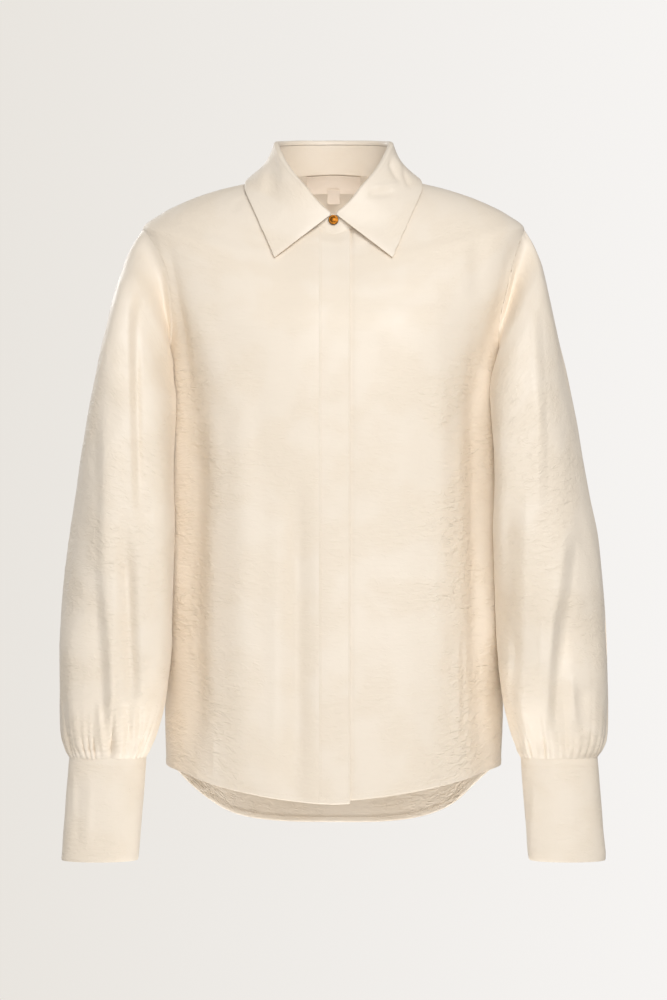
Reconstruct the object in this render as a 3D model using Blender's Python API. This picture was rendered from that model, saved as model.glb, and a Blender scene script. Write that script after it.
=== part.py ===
"""A viscose blouse, filled out as worn: shirt collar, concealed button front, shirt-tail hem and
full sleeves gathered into deep cuffs.

Metres, +Z up. The front faces -Y and the wearer's right side lies at -X. The origin is the point
between the shoulders where the wearer carries the blouse, level with the base of the collar.

The body is one tall form, read from TORSO: a ring at each height of the side seam, with its own
half width, depths and sweep. Each panel is a grid of points on that form, each sleeve a grid on
rings that turn from the armhole down to the cuff, and the collar a band that rises from the neck
and rolls back down. Every piece is a wall of cloth between two such grids. All sizes below are
millimetres.
"""

import math

import bpy
import numpy as np

MM = 0.001

# Cloth
WALL = 1.2
COLLAR_WALL = 1.6
CUFF_WALL = 1.6
LABEL_WALL = 1.0
SEAM_GAP = 0.3
LAP = WALL + 0.4

# Body
ARMHOLE_LOW = -198.0
ARMHOLE_TOP = -46.0
# How far each armhole is cut into its panel, in degrees, and how square its curve is: below 1 the
# edge leaves the shoulder and the underarm more steeply.
ARMHOLE_CUTS = {"front_right": (31.0, 0.6), "front_left": (26.0, 0.9), "back": (24.0, 1.0)}
NECK = 11.0
NECK_SWEEP = 1.7
TORSO_COLUMNS = "height front_z back_z half front back square front_sweep back_sweep"
TORSO = (
    (-607, -638, -681, 174, 124, 120, 2.5, 1.3, 3.5),
    (-555, -572, -592, 174, 123, 119, 2.5, 1.3, 3.0),
    (-480, -485, -490, 174, 118, 112, 2.5, 1.3, 2.4),
    (-370, -371, -372, 174, 112, 100, 2.5, 1.3, 2.0),
    (-260, -260, -260, 174, 120, 107, 2.4, 1.4, 1.7),
    (-198, -200, -197, 177, 124, 113, 2.4, 1.5, NECK_SWEEP),
    (-150, -157, -148, 184.5, 122, 116, 2.35, 1.6, NECK_SWEEP),
    (-100, -121, -97, 194, 110, 112, 2.25, NECK_SWEEP, NECK_SWEEP),
    (-46, -86, -38, 200, 91, 100, 2.1, NECK_SWEEP, NECK_SWEEP),
    (-30, -78, -22, 181, 86, 93, 2.0, NECK_SWEEP, NECK_SWEEP),
    (-15, -72, -6, 150, 82, 84, 2.0, NECK_SWEEP, NECK_SWEEP),
    (-4, -67, 5, 117, 79, 75, 2.0, NECK_SWEEP, NECK_SWEEP),
    (4, -62, 13, 85, 75, 67, 2.0, NECK_SWEEP, NECK_SWEEP),
    (NECK, -58, 19, 66, 72, 60, 2.0, NECK_SWEEP, NECK_SWEEP),
)

# The body's largest folds: a trough (or a ridge, where it stands out) down the cloth, centred at an
# angle from centre front (wearer's left is positive), with its width in degrees.
FOLD_COLUMNS = "centre width out top bottom"
BODY_FOLDS = (
    (-74, 8, 3, -230, -640),
    (-52, 10, -6, -110, -640),
    (-21, 8, 3, -280, -650),
    (-8, 5, -3, -300, -690),
    (24, 10, 3, -100, -640),
    (52, 9, -6, -100, -640),
    (73, 8, 3, -220, -640),
    (124, 12, -6, -90, -660),
    (147, 11, 4, -160, -690),
    (177, 13, -5, -60, -690),
    (-157, 10, 4, -120, -690),
    (-135, 12, -7, -100, -650),
)
FOLD_FADE = 90.0

BODY_ROWS = 8
ARMHOLE_ROWS = 10
YOKE_ROWS = 6
FRONT_COLUMNS = 9
BACK_COLUMNS = 16

TURN_STEP = 0.01
RISE_STEP = 0.5

# Front closure
PLACKET_SEAM_X = -14.7
PLACKET_EDGE_X = 16.8
UNDERLAP_X = -13.0
LAP_MIDDLE_X = 1.9
LAP_EASE = 60.0
LEFT_HEM_RISE = 3.0

# Sleeves, for the side at +X
SLEEVE_COLUMNS = "station outer_x outer_z inner_x inner_z centre_y half_depth square"
SLEEVE = (
    (0, 200, -46, 176, -198, 0, 53, 2.0),
    (14, 209, -60, 179, -197, -4, 59, 2.0),
    (34, 219, -82, 180, -202, -16, 60, 2.0),
    (62, 228, -114, 173, -214, -40, 59, 2.0),
    (98, 238, -160, 168, -236, -57, 60, 2.0),
    (145, 248, -212, 165, -268, -64, 62, 2.0),
    (200, 259, -270, 164, -306, -66, 62, 2.0),
    (262, 268, -338, 164, -358, -66, 63, 2.0),
    (330, 278, -412, 165, -418, -67, 65, 2.1),
    (400, 283, -482, 166, -482, -67, 67, 2.1),
    (455, 283, -538, 167, -534, -67, 67, 2.1),
    (490, 281, -570, 170, -566, -67, 57, 2.1),
    (516, 271.5, -593.7, 192.5, -593.7, -65, 29.5, 2.2),
)
SLEEVE_ROWS = 15
SLEEVE_EASE = 60.0
BODY_CLEAR = 3.5
SLEEVE_SEAM = SEAM_GAP + 0.1
# Turn runs from the outside over the front to the inside; top and bottom are stations.
LEFT_SLEEVE_FOLDS = (
    (62, 20, 5, 60, 330),
    (25, 22, -6, 80, 420),
    (118, 20, -5, 250, 520),
    (75, 16, -6, 380, 530),
    (215, 24, -6, 120, 500),
    (290, 22, -5, 160, 480),
)
RIGHT_SLEEVE_FOLDS = (
    (48, 18, 5, 100, 420),
    (80, 18, -4, 180, 380),
    (60, 16, -6, 380, 530),
    (125, 22, -5, 200, 520),
    (225, 22, -6, 140, 520),
    (300, 24, -5, 120, 460),
)

# Cuffs, for the side at +X
CUFF_TOP_Z = -594.0
CUFF_BOTTOM_Z = -699.0
CUFF_CENTRE_TOP = (232.0, -65.0)
CUFF_CENTRE_BOTTOM = (240.0, -70.0)
CUFF_HALF = (39.5, 29.0)
CUFF_SQUARE = 2.2
CUFF_ROWS = 4

# Collar
STAND_HALF = 58.0
STAND_FRONT = 68.0
STAND_BACK = 52.0
STAND_END_X = 16.8
STAND_UNDER_X = -13.0
STAND_ROWS = 2
STAND_SEAM = 0.8
STAND_ROOM = 1.0
ROLL_RADIUS = 3.2
ROLL_FOOT = 2.0
LEAF_START_X = 3.0
LEAF_COLUMNS = 32
LEAF_ROWS = 5
# At each turn round the neck from centre front: the roll's height, where on the body's form the
# leaf's outer edge lies, and how far the leaf hangs in between the two.
COLLAR_COLUMNS = "turn roll_z edge_angle edge_height sag"
COLLAR = (
    (0, -36, 15.8, -53, 0),
    (14, -24, 21, -32, 1),
    (28, -7, 29, -17, 2),
    (42, 7, 38, -8.5, 3),
    (56, 21, 50, -3.4, 4),
    (72, 36, 66, 0.4, 5),
    (90, 46, 88, 2.4, 5),
    (120, 50, 119, 0, 4),
    (150, 53, 149, -4, 3),
    (180, 54, 180, -6, 3),
)
LEAF_LIFT = 5.0
LEAF_CLEAR = 4.5
STAND_LAP_EASE = math.radians(60.0)

# Trims: the button's half section is (radius, height) from the middle of its face to its back
BUTTON_SECTION = ((2.2, 1.7), (3.4, 1.9), (4.6, 2.5), (5.3, 1.6), (4.9, 0.4), (3.0, 0.0))
BUTTON_FACE = 1.9
BUTTON_STEPS = 16
BUTTON_Z = -43.0
LABEL_HALF = 29.5
LABEL_TOP = 1.0
LABEL_DROP = 15.0
LABEL_COLUMNS = 6
LABEL_ROWS = 3
LABEL_REST = 0.8
TAB_HALF = 6.8
TAB_DROP = (11.0, 25.0)

VISCOSE = (0.86, 0.78, 0.68)
BRASS = (0.42, 0.24, 0.07)
LABEL_SATIN = (0.88, 0.80, 0.70)


def smooth_table(columns, rows):
    """The table as a function of its first column: it gives the others, by name, on monotone curves."""
    names = columns.split()
    values = np.array(rows, float)
    key = values[:, 0]
    step = np.diff(key)[:, None]
    rise = np.diff(values[:, 1:], axis=0) / step
    slope = np.zeros_like(values[:, 1:])
    slope[0], slope[-1] = rise[0], rise[-1]
    before, after = rise[:-1], rise[1:]
    same_way = before * after > 0
    both = np.where(same_way, before + after, 1.0)
    slope[1:-1] = np.where(same_way, 2 * before * after / both, 0.0)

    def read(at):
        at = np.clip(np.asarray(at, float), key[0], key[-1])
        i = np.clip(np.searchsorted(key, at, side="right") - 1, 0, len(key) - 2)
        long = step[i, 0]
        u = ((at - key[i]) / long)[..., None]
        start, end = values[i, 1:], values[i + 1, 1:]
        lean = (slope[i] * long[..., None], slope[i + 1] * long[..., None])
        found = (
            start * (1 + 2 * u) * (1 - u) ** 2
            + lean[0] * u * (1 - u) ** 2
            + end * u**2 * (3 - 2 * u)
            + lean[1] * u**2 * (u - 1)
        )
        return {name: found[..., n] for n, name in enumerate(names[1:])}

    return read


torso_ring = smooth_table(TORSO_COLUMNS, TORSO)
sleeve_ring = smooth_table(SLEEVE_COLUMNS, SLEEVE)
collar_turn = smooth_table(COLLAR_COLUMNS, COLLAR)


def ease(value):
    """0 below 0, 1 above 1, and a smooth S between."""
    value = np.clip(value, 0.0, 1.0)
    return value * value * (3 - 2 * value)


def signed_power(base, power):
    return np.sign(base) * np.abs(base) ** power


def unit(vectors):
    return vectors / np.linalg.norm(vectors, axis=-1, keepdims=True)


def form(angle, height):
    """A point of the body's form: angle from centre front, in radians, on the ring at this height."""
    ring = torso_ring(height)
    across, along = np.sin(angle), np.cos(angle)
    power = 2.0 / ring["square"]
    depth = np.where(along > 0, ring["front"], ring["back"])
    middle_z = np.where(along > 0, ring["front_z"], ring["back_z"])
    sweep = np.where(along > 0, ring["front_sweep"], ring["back_sweep"])
    fall = 1.0 - np.abs(across) ** sweep
    return np.stack(
        (
            ring["half"] * signed_power(across, power),
            -depth * signed_power(along, power),
            height + (middle_z - height) * fall,
        ),
        axis=-1,
    )


def folds(rows, angle, along, fade):
    """How far the folds of a table stand out here: each a bell across the cloth, fading at its ends."""
    total = np.zeros(np.broadcast(angle, along).shape)
    for centre, width, out, top, bottom in rows:
        apart = (np.degrees(angle) - centre + 180.0) % 360.0 - 180.0
        ends = ease((along - min(top, bottom)) / fade) * ease((max(top, bottom) - along) / fade)
        total += out * np.exp(-((apart / width) ** 2)) * ends
    return total


def form_normal(angle, height):
    sideways = form(angle + TURN_STEP, height) - form(angle - TURN_STEP, height)
    upwards = form(angle, height + RISE_STEP) - form(angle, height - RISE_STEP)
    return unit(np.cross(sideways, upwards))


def torso(angle, height, lift=0.0):
    """A point of the body's cloth: the form with its folds, moved out along its normal by lift."""
    angle, height = np.broadcast_arrays(np.asarray(angle, float), np.asarray(height, float))
    height = np.clip(height, TORSO[0][0] + RISE_STEP, NECK - RISE_STEP)
    lift = lift + folds(BODY_FOLDS, angle, height, FOLD_FADE)
    return form(angle, height) + form_normal(angle, height) * lift[..., None]


def clear_of_form(points, clearance):
    """The points, those nearer to the body's form than the clearance moved out along its normal."""
    turns = np.linspace(0, 2 * math.pi, 144, endpoint=False)[None, :]
    low = np.linspace(TORSO[0][0] + RISE_STEP, ARMHOLE_TOP, 70)
    levels = np.concatenate((low, np.linspace(ARMHOLE_TOP, NECK - RISE_STEP, 50)))[:, None]
    turns, levels = (grid.ravel() for grid in np.broadcast_arrays(turns, levels))
    surface, normal = form(turns, levels), form_normal(turns, levels)
    flat = points.reshape(-1, 3)
    apart = (flat**2).sum(1)[:, None] - 2 * flat @ surface.T + (surface**2).sum(1)[None, :]
    nearest = apart.argmin(axis=1)
    gap = ((flat - surface[nearest]) * normal[nearest]).sum(axis=1).reshape(points.shape[:-1])
    short = np.clip(clearance - gap, 0.0, None)[..., None]
    return points + normal[nearest].reshape(points.shape) * short


def angle_at(x, height):
    """The angle at which the ring at this height is x from the middle, at the front."""
    ring = torso_ring(height)
    share = np.clip(np.abs(x) / ring["half"], 0.0, 1.0)
    return np.sign(x) * np.arcsin(share ** (ring["square"] / 2.0))


def row_heights(share):
    """The side heights of a panel's rows, hem to neck, for columns a share of the way to its side.

    Along the armhole the rows are even at the panel's middle, and bunch at the side towards the
    ends of the hole, to meet the sleeve's points.
    """
    low = np.linspace(TORSO[0][0], ARMHOLE_LOW, BODY_ROWS + 1)[:, None] + 0 * share
    even = np.linspace(0.0, 1.0, ARMHOLE_ROWS + 1)[1:, None]
    bunched = (1 - np.cos(math.pi * even)) / 2
    arm = ARMHOLE_LOW + (ARMHOLE_TOP - ARMHOLE_LOW) * (even + (bunched - even) * share**2)
    high = np.linspace(ARMHOLE_TOP, NECK, YOKE_ROWS + 1)[1:, None] + 0 * share
    return np.concatenate((low, arm, high))


def armhole_cut(panel_name, turn):
    """How far the armhole cuts back a panel's side at this turn round the sleeve, in radians."""
    cut, power = ARMHOLE_CUTS[panel_name]
    return math.radians(cut) * np.abs(np.sin(turn)) ** power


def panel_grid(panel_name, start, share):
    """(angle, height) of a panel's points, from the angle of its inner edge out to its side."""
    height = row_heights(share)
    arm = armhole_cut(panel_name, math.pi * np.linspace(0.0, 1.0, ARMHOLE_ROWS + 1))
    cut = np.concatenate((np.zeros(BODY_ROWS), arm, np.zeros(YOKE_ROWS)))[:, None]
    gap = (SEAM_GAP / 2) / torso_ring(height)["half"]
    return start + (math.pi / 2 - gap - start) * share - cut * share**2, height


def grid_faces(rows, columns, closed):
    """Triangles of a grid whose rows are stored one after another, each cell cut the same way."""
    across = columns if closed else columns - 1
    row, column = np.meshgrid(np.arange(rows - 1), np.arange(across), indexing="ij")
    here, right = row * columns + column, row * columns + (column + 1) % columns
    cell = (here, right, right + columns, here, right + columns, here + columns)
    return np.stack(cell, axis=-1).reshape(-1, 3)


def material(name, colour, roughness, metallic):
    made = bpy.data.materials.get(name)
    if made:
        return made
    made = bpy.data.materials.new(name)
    made.use_nodes = True
    shader = made.node_tree.nodes["Principled BSDF"]
    shader.inputs["Base Color"].default_value = (*colour, 1.0)
    shader.inputs["Roughness"].default_value = roughness
    shader.inputs["Metallic"].default_value = metallic
    return made


def viscose():
    return material("viscose satin", VISCOSE, 0.5, 0.0)


def add_object(name, points, faces, finish):
    mesh = bpy.data.meshes.new(name)
    mesh.from_pydata((points.reshape(-1, 3) * MM).tolist(), [], faces.tolist())
    mesh.materials.append(finish)
    mesh.shade_smooth()
    made = bpy.data.objects.new(name, mesh)
    bpy.context.scene.collection.objects.link(made)
    return made


def grid_normals(points, closed):
    """Outward unit normals of a grid, from the differences between its neighbours."""
    if closed:
        across = np.roll(points, -1, axis=1) - np.roll(points, 1, axis=1)
    else:
        across = np.gradient(points, axis=1)
    return unit(np.cross(across, np.gradient(points, axis=0)))


def cloth(name, outer, inner=None, closed=False, wall=WALL, finish=None):
    """A wall of cloth between two grids, closed along its edges.

    Rows run up and columns run so that the outer grid faces out. Without an inner grid, the outer one
    is moved in by the wall. A closed grid is a tube, open at both ends.
    """
    if inner is None:
        inner = outer - grid_normals(outer, closed) * wall
    rows, columns = outer.shape[:2]
    face = grid_faces(rows, columns, closed)
    count = rows * columns
    index = np.arange(count).reshape(rows, columns)
    loops = [index[0], index[-1][::-1]]
    if not closed:
        loops = [np.concatenate((index[0], index[1:, -1], index[-1, -2::-1], index[-2:0:-1, 0]))]
    rims = []
    for loop in loops:
        after = np.roll(loop, -1)
        cell = (after, loop, loop + count, after, loop + count, after + count)
        rims.append(np.stack(cell, axis=-1).reshape(-1, 3))
    faces = np.concatenate([face, face[:, ::-1] + count, *rims])
    return add_object(name, np.stack((outer, inner)), faces, finish or viscose())


def mirrored(points):
    """The same grid at the other side, its columns reversed so that its faces still point out."""
    return points[:, ::-1] * np.array((-1.0, 1.0, 1.0))


def lap_lift(x):
    """How far the overlapping side stands out near centre front."""
    return LAP * ease((x + LAP_EASE) / (LAP_EASE + PLACKET_SEAM_X))


def panel(name, angle, height, lift=0.0):
    """A panel of the body: both faces of its wall lie along the form's own normals."""
    return cloth(name, torso(angle, height, lift), torso(angle, height, lift - WALL))


def strip_grid(edges):
    """(angle, height) of a strip down the front, with a column at each x of edges."""
    height = row_heights(np.zeros((1, len(edges))))
    return angle_at(np.array(edges)[None, :], height), height


def front_grid(panel_name, edges):
    """(angle, height) of a front at +X: a column at each x of edges, then evenly to the side seam."""
    strip = strip_grid(edges)
    share = np.linspace(0.0, 1.0, FRONT_COLUMNS + 1)[None, 1:]
    side = panel_grid(panel_name, strip[0][:, -1:], share)
    return [np.concatenate(pair, axis=1) for pair in zip(strip, side)]


def build_fronts():
    angle, height = front_grid("front_left", (UNDERLAP_X, LAP_MIDDLE_X, PLACKET_EDGE_X))
    height[0] += LEFT_HEM_RISE * np.cos(angle[0])
    panel("front_left", angle, height)
    angle, height = front_grid("front_right", (-PLACKET_SEAM_X + SEAM_GAP / 2,))
    angle, height = -angle[:, ::-1], height[:, ::-1]
    panel("front_right", angle, height, lap_lift(form(angle, height)[..., 0]))


def build_placket():
    edges = (PLACKET_SEAM_X + SEAM_GAP / 2, UNDERLAP_X, LAP_MIDDLE_X, PLACKET_EDGE_X)
    panel("fly_placket", *strip_grid(edges), LAP)


def build_back():
    share = np.linspace(0.0, 1.0, BACK_COLUMNS // 2 + 1)[None, :]
    angle, height = panel_grid("back", np.zeros_like(share), share)
    angle = math.pi + np.concatenate((-angle[:, :0:-1], angle), axis=1)
    panel("back", angle, np.concatenate((height[:, :0:-1], height), axis=1))


def sleeve_points(turn, station):
    """A point of the sleeve at +X: turn runs from the outside over the front to the inside."""
    ring = sleeve_ring(station)
    power = 2.0 / ring["square"]
    across = signed_power(np.cos(turn), power)
    depth = signed_power(np.sin(turn), power)
    reach = (1 + across) / 2
    return np.stack(
        (
            ring["inner_x"] + (ring["outer_x"] - ring["inner_x"]) * reach,
            ring["centre_y"] - ring["half_depth"] * depth,
            ring["inner_z"] + (ring["outer_z"] - ring["inner_z"]) * reach,
        ),
        axis=-1,
    )


def armhole(turn, front, side):
    """The sleeve's first ring at +X: the edge of the side's armhole, moved into it by the seam gap."""
    share = (1 + np.cos(turn)) / 2
    height = ARMHOLE_LOW + (ARMHOLE_TOP - ARMHOLE_LOW) * share
    before = np.sin(turn) > 0
    cut = np.where(before, armhole_cut(front, turn), -armhole_cut("back", turn))
    edge = torso(side * (math.pi / 2 - cut), height) * np.array((side, 1.0, 1.0))
    middle = edge.mean(axis=-2, keepdims=True)
    return edge + unit(middle - edge) * SLEEVE_SEAM


def sleeve(front, side, fold_rows):
    """A sleeve at +X, clear of the body's side, its first ring eased out of its own armhole."""
    turn = np.linspace(0, 2 * math.pi, 2 * ARMHOLE_ROWS, endpoint=False)[None, :]
    last = SLEEVE[-1][0]
    station = last * np.linspace(0.0, 1.0, SLEEVE_ROWS + 1)[:, None] ** 1.25
    points = sleeve_points(turn, station + 0 * turn)
    out = folds(fold_rows, turn, station, FOLD_FADE) * ease((last - station) / FOLD_FADE)
    points = points + grid_normals(points, True) * out[..., None]
    drift = armhole(turn, front, side) - sleeve_points(turn, 0 * turn)
    points = points + (1 - ease(station / SLEEVE_EASE))[..., None] * drift
    return clear_of_form(points, BODY_CLEAR * ease(station / SLEEVE_EASE))


def build_sleeves():
    cloth("sleeve_left", sleeve("front_left", 1.0, LEFT_SLEEVE_FOLDS), closed=True)
    right = sleeve("front_right", -1.0, RIGHT_SLEEVE_FOLDS)
    cloth("sleeve_right", mirrored(right), closed=True)


def build_cuff():
    turn = np.linspace(0, 2 * math.pi, 2 * ARMHOLE_ROWS, endpoint=False)[None, :]
    share = np.linspace(0.0, 1.0, CUFF_ROWS + 1)[:, None]
    middle = [a + (b - a) * share for a, b in zip(CUFF_CENTRE_TOP, CUFF_CENTRE_BOTTOM)]
    power = 2.0 / CUFF_SQUARE
    points = np.stack(
        (
            middle[0] + CUFF_HALF[0] * signed_power(np.cos(turn), power),
            middle[1] - CUFF_HALF[1] * signed_power(np.sin(turn), power),
            CUFF_TOP_Z + (CUFF_BOTTOM_Z - CUFF_TOP_Z) * share + 0 * turn,
        ),
        axis=-1,
    )
    cloth("cuff_left", points, closed=True, wall=CUFF_WALL)
    cloth("cuff_right", mirrored(points), closed=True, wall=CUFF_WALL)


def stand_top(angle):
    """The top line of the collar stand, where the leaf rolls over it."""
    turn = np.degrees(np.abs((angle + math.pi) % (2 * math.pi) - math.pi))
    across, along = np.sin(angle), np.cos(angle)
    depth = np.where(along > 0, STAND_FRONT, STAND_BACK)
    roll_z = collar_turn(turn)["roll_z"] - ROLL_RADIUS - ROLL_FOOT
    return np.stack((STAND_HALF * across, -depth * along, roll_z), axis=-1)


def leaf_angles():
    """The angles of the leaf's columns, from its right front round the neck to its left front."""
    start = math.asin(LEAF_START_X / STAND_HALF)
    return -np.linspace(start, 2 * math.pi - start, LEAF_COLUMNS + 1)


def build_stand():
    """The collar stand, from its end on top at centre front round the neck to the end beneath."""
    over = math.asin(STAND_END_X / STAND_HALF)
    under = math.asin(-STAND_UNDER_X / STAND_HALF)
    ends = np.array((over, over / 2, 0.0)), -2 * math.pi - np.array((0.0, under))
    angle = np.concatenate((ends[0], leaf_angles(), ends[1]))
    lift = LAP * (1 - ease((over - angle) / STAND_LAP_EASE))
    bottom = torso(angle, NECK, lift)
    bottom[..., 2] += STAND_SEAM + STAND_ROOM * np.exp(-((bottom[..., 0] / STAND_END_X) ** 2))
    top = stand_top(angle)
    out = np.stack((np.sin(angle), -np.cos(angle), 0 * angle), axis=-1)
    top = top + out * lift[..., None]
    rise = np.linspace(0.0, 1.0, STAND_ROWS + 1)[:, None, None]
    points = bottom + (top - bottom) * rise
    cloth("collar_stand", points[:, ::-1])


def build_leaf():
    angle = leaf_angles()
    turn = np.degrees(np.abs((angle + math.pi) % (2 * math.pi) - math.pi))
    row = collar_turn(turn)
    side = np.sign(np.sin(angle))
    out = np.stack((np.sin(angle), -np.cos(angle), 0 * angle), axis=-1)
    up = np.array((0.0, 0.0, 1.0))
    foot = stand_top(angle) - out * WALL + up * SEAM_GAP
    centre = foot + out * ROLL_RADIUS + up * (ROLL_FOOT - SEAM_GAP)
    roll = [foot] + [
        centre + ROLL_RADIUS * (-math.cos(a) * out + math.sin(a) * up)
        for a in np.radians((0.0, 60.0, 120.0, 180.0))
    ]
    edge = torso(side * np.radians(row["edge_angle"]), row["edge_height"], LEAF_LIFT)
    fall = []
    for share in np.linspace(0.0, 1.0, LEAF_ROWS + 1)[1:]:
        line = roll[-1] + (edge - roll[-1]) * share
        fall.append(line - out * (row["sag"] * math.sin(math.pi * share))[..., None])
    shares = np.linspace(0.0, 1.0, LEAF_ROWS + 1)[1:, None]
    fall = clear_of_form(np.stack(fall), LEAF_CLEAR * ease(shares / 0.4))
    points = np.concatenate((np.stack(roll), fall))
    cloth("collar_leaf", points, wall=COLLAR_WALL)


def build_button():
    """A turned metal button, its axis along the stand's normal at centre front."""
    turn = np.linspace(0, 2 * math.pi, BUTTON_STEPS, endpoint=False)
    radius, height = (np.array(column)[:, None] for column in zip(*BUTTON_SECTION))
    rings = np.stack((radius * np.cos(turn), radius * np.sin(turn), height + 0 * turn), axis=-1)
    points = np.concatenate((rings.reshape(-1, 3), ((0, 0, BUTTON_FACE), (0, 0, 0))))
    here = np.arange(BUTTON_STEPS)
    after = (here + 1) % BUTTON_STEPS
    last = (len(rings) - 1) * BUTTON_STEPS
    face = np.stack((here, after, np.full_like(here, len(points) - 2)), axis=-1)
    under = np.stack((last + after, last + here, np.full_like(here, len(points) - 1)), axis=-1)
    sides = grid_faces(len(rings), BUTTON_STEPS, True)[:, ::-1]
    high, low = stand_top(np.array(0.0)), torso(0.0, NECK)
    across, rise = np.array((1.0, 0.0, 0.0)), unit(high - low)
    normal = unit(np.cross(across, rise))
    share = (BUTTON_Z - low[2]) / (high[2] - low[2])
    seat = low + (high - low) * share + normal * (LAP + SLEEVE_SEAM)
    turned = points @ np.stack((across, rise, normal)) + seat
    brass = material("brass", BRASS, 0.35, 1.0)
    add_object("collar_button", turned, np.concatenate((sides, face, under)), brass)


def back_height(z):
    """The side height of the ring that is at z at centre back."""
    height = np.linspace(ARMHOLE_TOP, NECK, 400)
    return np.interp(z, torso_ring(height)["back_z"], height)


def inner_strip(name, half, top_z, bottom_z, depth):
    """A label on the inside of the back: columns across, rows up, facing the neck opening."""
    height = back_height(np.linspace(bottom_z, top_z, LABEL_ROWS + 1))[:, None]
    x = np.linspace(half, -half, LABEL_COLUMNS + 1)[None, :]
    points = torso(math.pi - angle_at(x, height), height + 0 * x, -depth)
    finish = material("label satin", LABEL_SATIN, 0.4, 0.0)
    cloth(name, points, wall=LABEL_WALL, finish=finish)


def build_labels():
    top = torso_ring(NECK)["back_z"] - LABEL_TOP
    inner_strip("neck_label", LABEL_HALF, top, top - LABEL_DROP, WALL + LABEL_REST)
    under = WALL + LABEL_REST + LABEL_WALL + SEAM_GAP
    inner_strip("size_tab", TAB_HALF, top - TAB_DROP[0], top - TAB_DROP[1], under)


def main():
    for old in list(bpy.data.objects):
        bpy.data.objects.remove(old)
    build_fronts()
    build_placket()
    build_back()
    build_sleeves()
    build_cuff()
    build_stand()
    build_leaf()
    build_button()
    build_labels()


main()
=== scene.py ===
"""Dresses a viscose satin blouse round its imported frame.

The blouse is filled out as worn: shirt collar, concealed button front, shirt-tail hem longer at the
back, and full sleeves gathered into deep cuffs. Each piece of cloth is a thin shell between two
grids of points, worked out in millimetres on the same forms as its solid and put into its mesh in
metres: +Z up, -Y to the front, +X to the wearer's left.
"""

from __future__ import annotations

import itertools
import logging
import math
from collections.abc import Sequence
from dataclasses import dataclass, field
from enum import Enum
from typing import Any, NamedTuple

import bpy
import numpy as np
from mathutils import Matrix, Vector


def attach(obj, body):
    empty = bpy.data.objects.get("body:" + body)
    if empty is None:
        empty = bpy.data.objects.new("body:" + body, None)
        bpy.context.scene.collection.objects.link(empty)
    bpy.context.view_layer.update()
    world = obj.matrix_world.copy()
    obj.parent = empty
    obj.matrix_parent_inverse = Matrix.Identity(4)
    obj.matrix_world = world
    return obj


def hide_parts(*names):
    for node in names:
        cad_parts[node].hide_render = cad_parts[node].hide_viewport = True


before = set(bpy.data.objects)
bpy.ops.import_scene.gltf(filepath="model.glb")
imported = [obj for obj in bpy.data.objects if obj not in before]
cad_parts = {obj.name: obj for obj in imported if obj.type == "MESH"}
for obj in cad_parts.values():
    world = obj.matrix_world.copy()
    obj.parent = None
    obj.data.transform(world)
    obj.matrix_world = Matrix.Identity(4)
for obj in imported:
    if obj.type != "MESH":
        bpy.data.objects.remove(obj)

log = logging.getLogger("blouse")

Grid = np.ndarray
Socket = bpy.types.NodeSocket

MM = 0.001
QUARTER = math.pi / 2
ACROSS = np.array((1.0, 0.0, 0.0))
UP = np.array((0.0, 0.0, 1.0))

UV_NAME = "cloth"


class Side(Enum):
    """A side of the wearer. The value is the sign of its x."""

    LEFT = 1.0
    RIGHT = -1.0

    @property
    def word(self) -> str:
        """The side as it stands in a piece's name."""
        return self.name.lower()


# --- Small sums -------------------------------------------------------------------------------


def ease(value: Grid | float) -> Grid:
    """Gives 0 below 0, 1 above 1 and 3t^2 - 2t^3 between, so that both ends are level."""
    value = np.clip(value, 0.0, 1.0)
    return value * value * (3 - 2 * value)


def bell(offset: Grid | float, width: Grid | float) -> Grid:
    """Gives exp(-(offset / width)^2): 1 at the middle, about a third one width away."""
    return np.exp(-((offset / width) ** 2))


def signed_power(base: Grid, power: Grid | float) -> Grid:
    """Raises the size of each number to the power and keeps its sign."""
    return np.sign(base) * np.abs(base) ** power


def unit(vectors: Grid) -> Grid:
    """Scales each vector of the last axis to length one."""
    return vectors / np.maximum(np.linalg.norm(vectors, axis=-1, keepdims=True), 1e-9)


def grid_normals(points: Grid, closed: bool) -> Grid:
    """Gives a grid's outward normals: the cross product of its steps across and its steps along.

    Args:
        points: Rows of columns of points, columns anticlockwise as seen from where rows lead.
        closed: Whether the last column joins the first.

    Returns:
        One unit vector for each point.
    """
    if closed:
        across = np.roll(points, -1, axis=1) - np.roll(points, 1, axis=1)
    else:
        across = np.gradient(points, axis=1)
    return unit(np.cross(across, np.gradient(points, axis=0)))


def run_length(points: Grid, axis: int) -> Grid:
    """Gives the length run along an axis of a grid, from 0 at its first point."""
    steps = np.linalg.norm(np.diff(points, axis=axis), axis=-1)
    start = np.zeros_like(np.take(steps, [0], axis=axis))
    return np.concatenate((start, np.cumsum(steps, axis=axis)), axis=axis)


def random_at(place: Grid, seed: float) -> Grid:
    """Gives a fixed random number from -1 to 1 for each whole-number place: a hash by sines."""
    return 2 * np.modf(np.abs(np.sin(place * 12.9898 + seed * 78.233) * 43758.5453))[0] - 1


def ring_noise(turn: Grid, count: int, seed: float) -> Grid:
    """Gives smooth noise round a ring: random values at equal turns, blended with level ends.

    Args:
        turn: Angles in radians.
        count: How many values stand round the ring.
        seed: Picks the values.

    Returns:
        Numbers from -1 to 1, the same at 0 and at a full turn.
    """
    place = turn / (2 * math.pi) * count
    first = np.floor(place)
    here, after = random_at(first % count, seed), random_at((first + 1) % count, seed)
    return here + (after - here) * ease(place - first)


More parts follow.
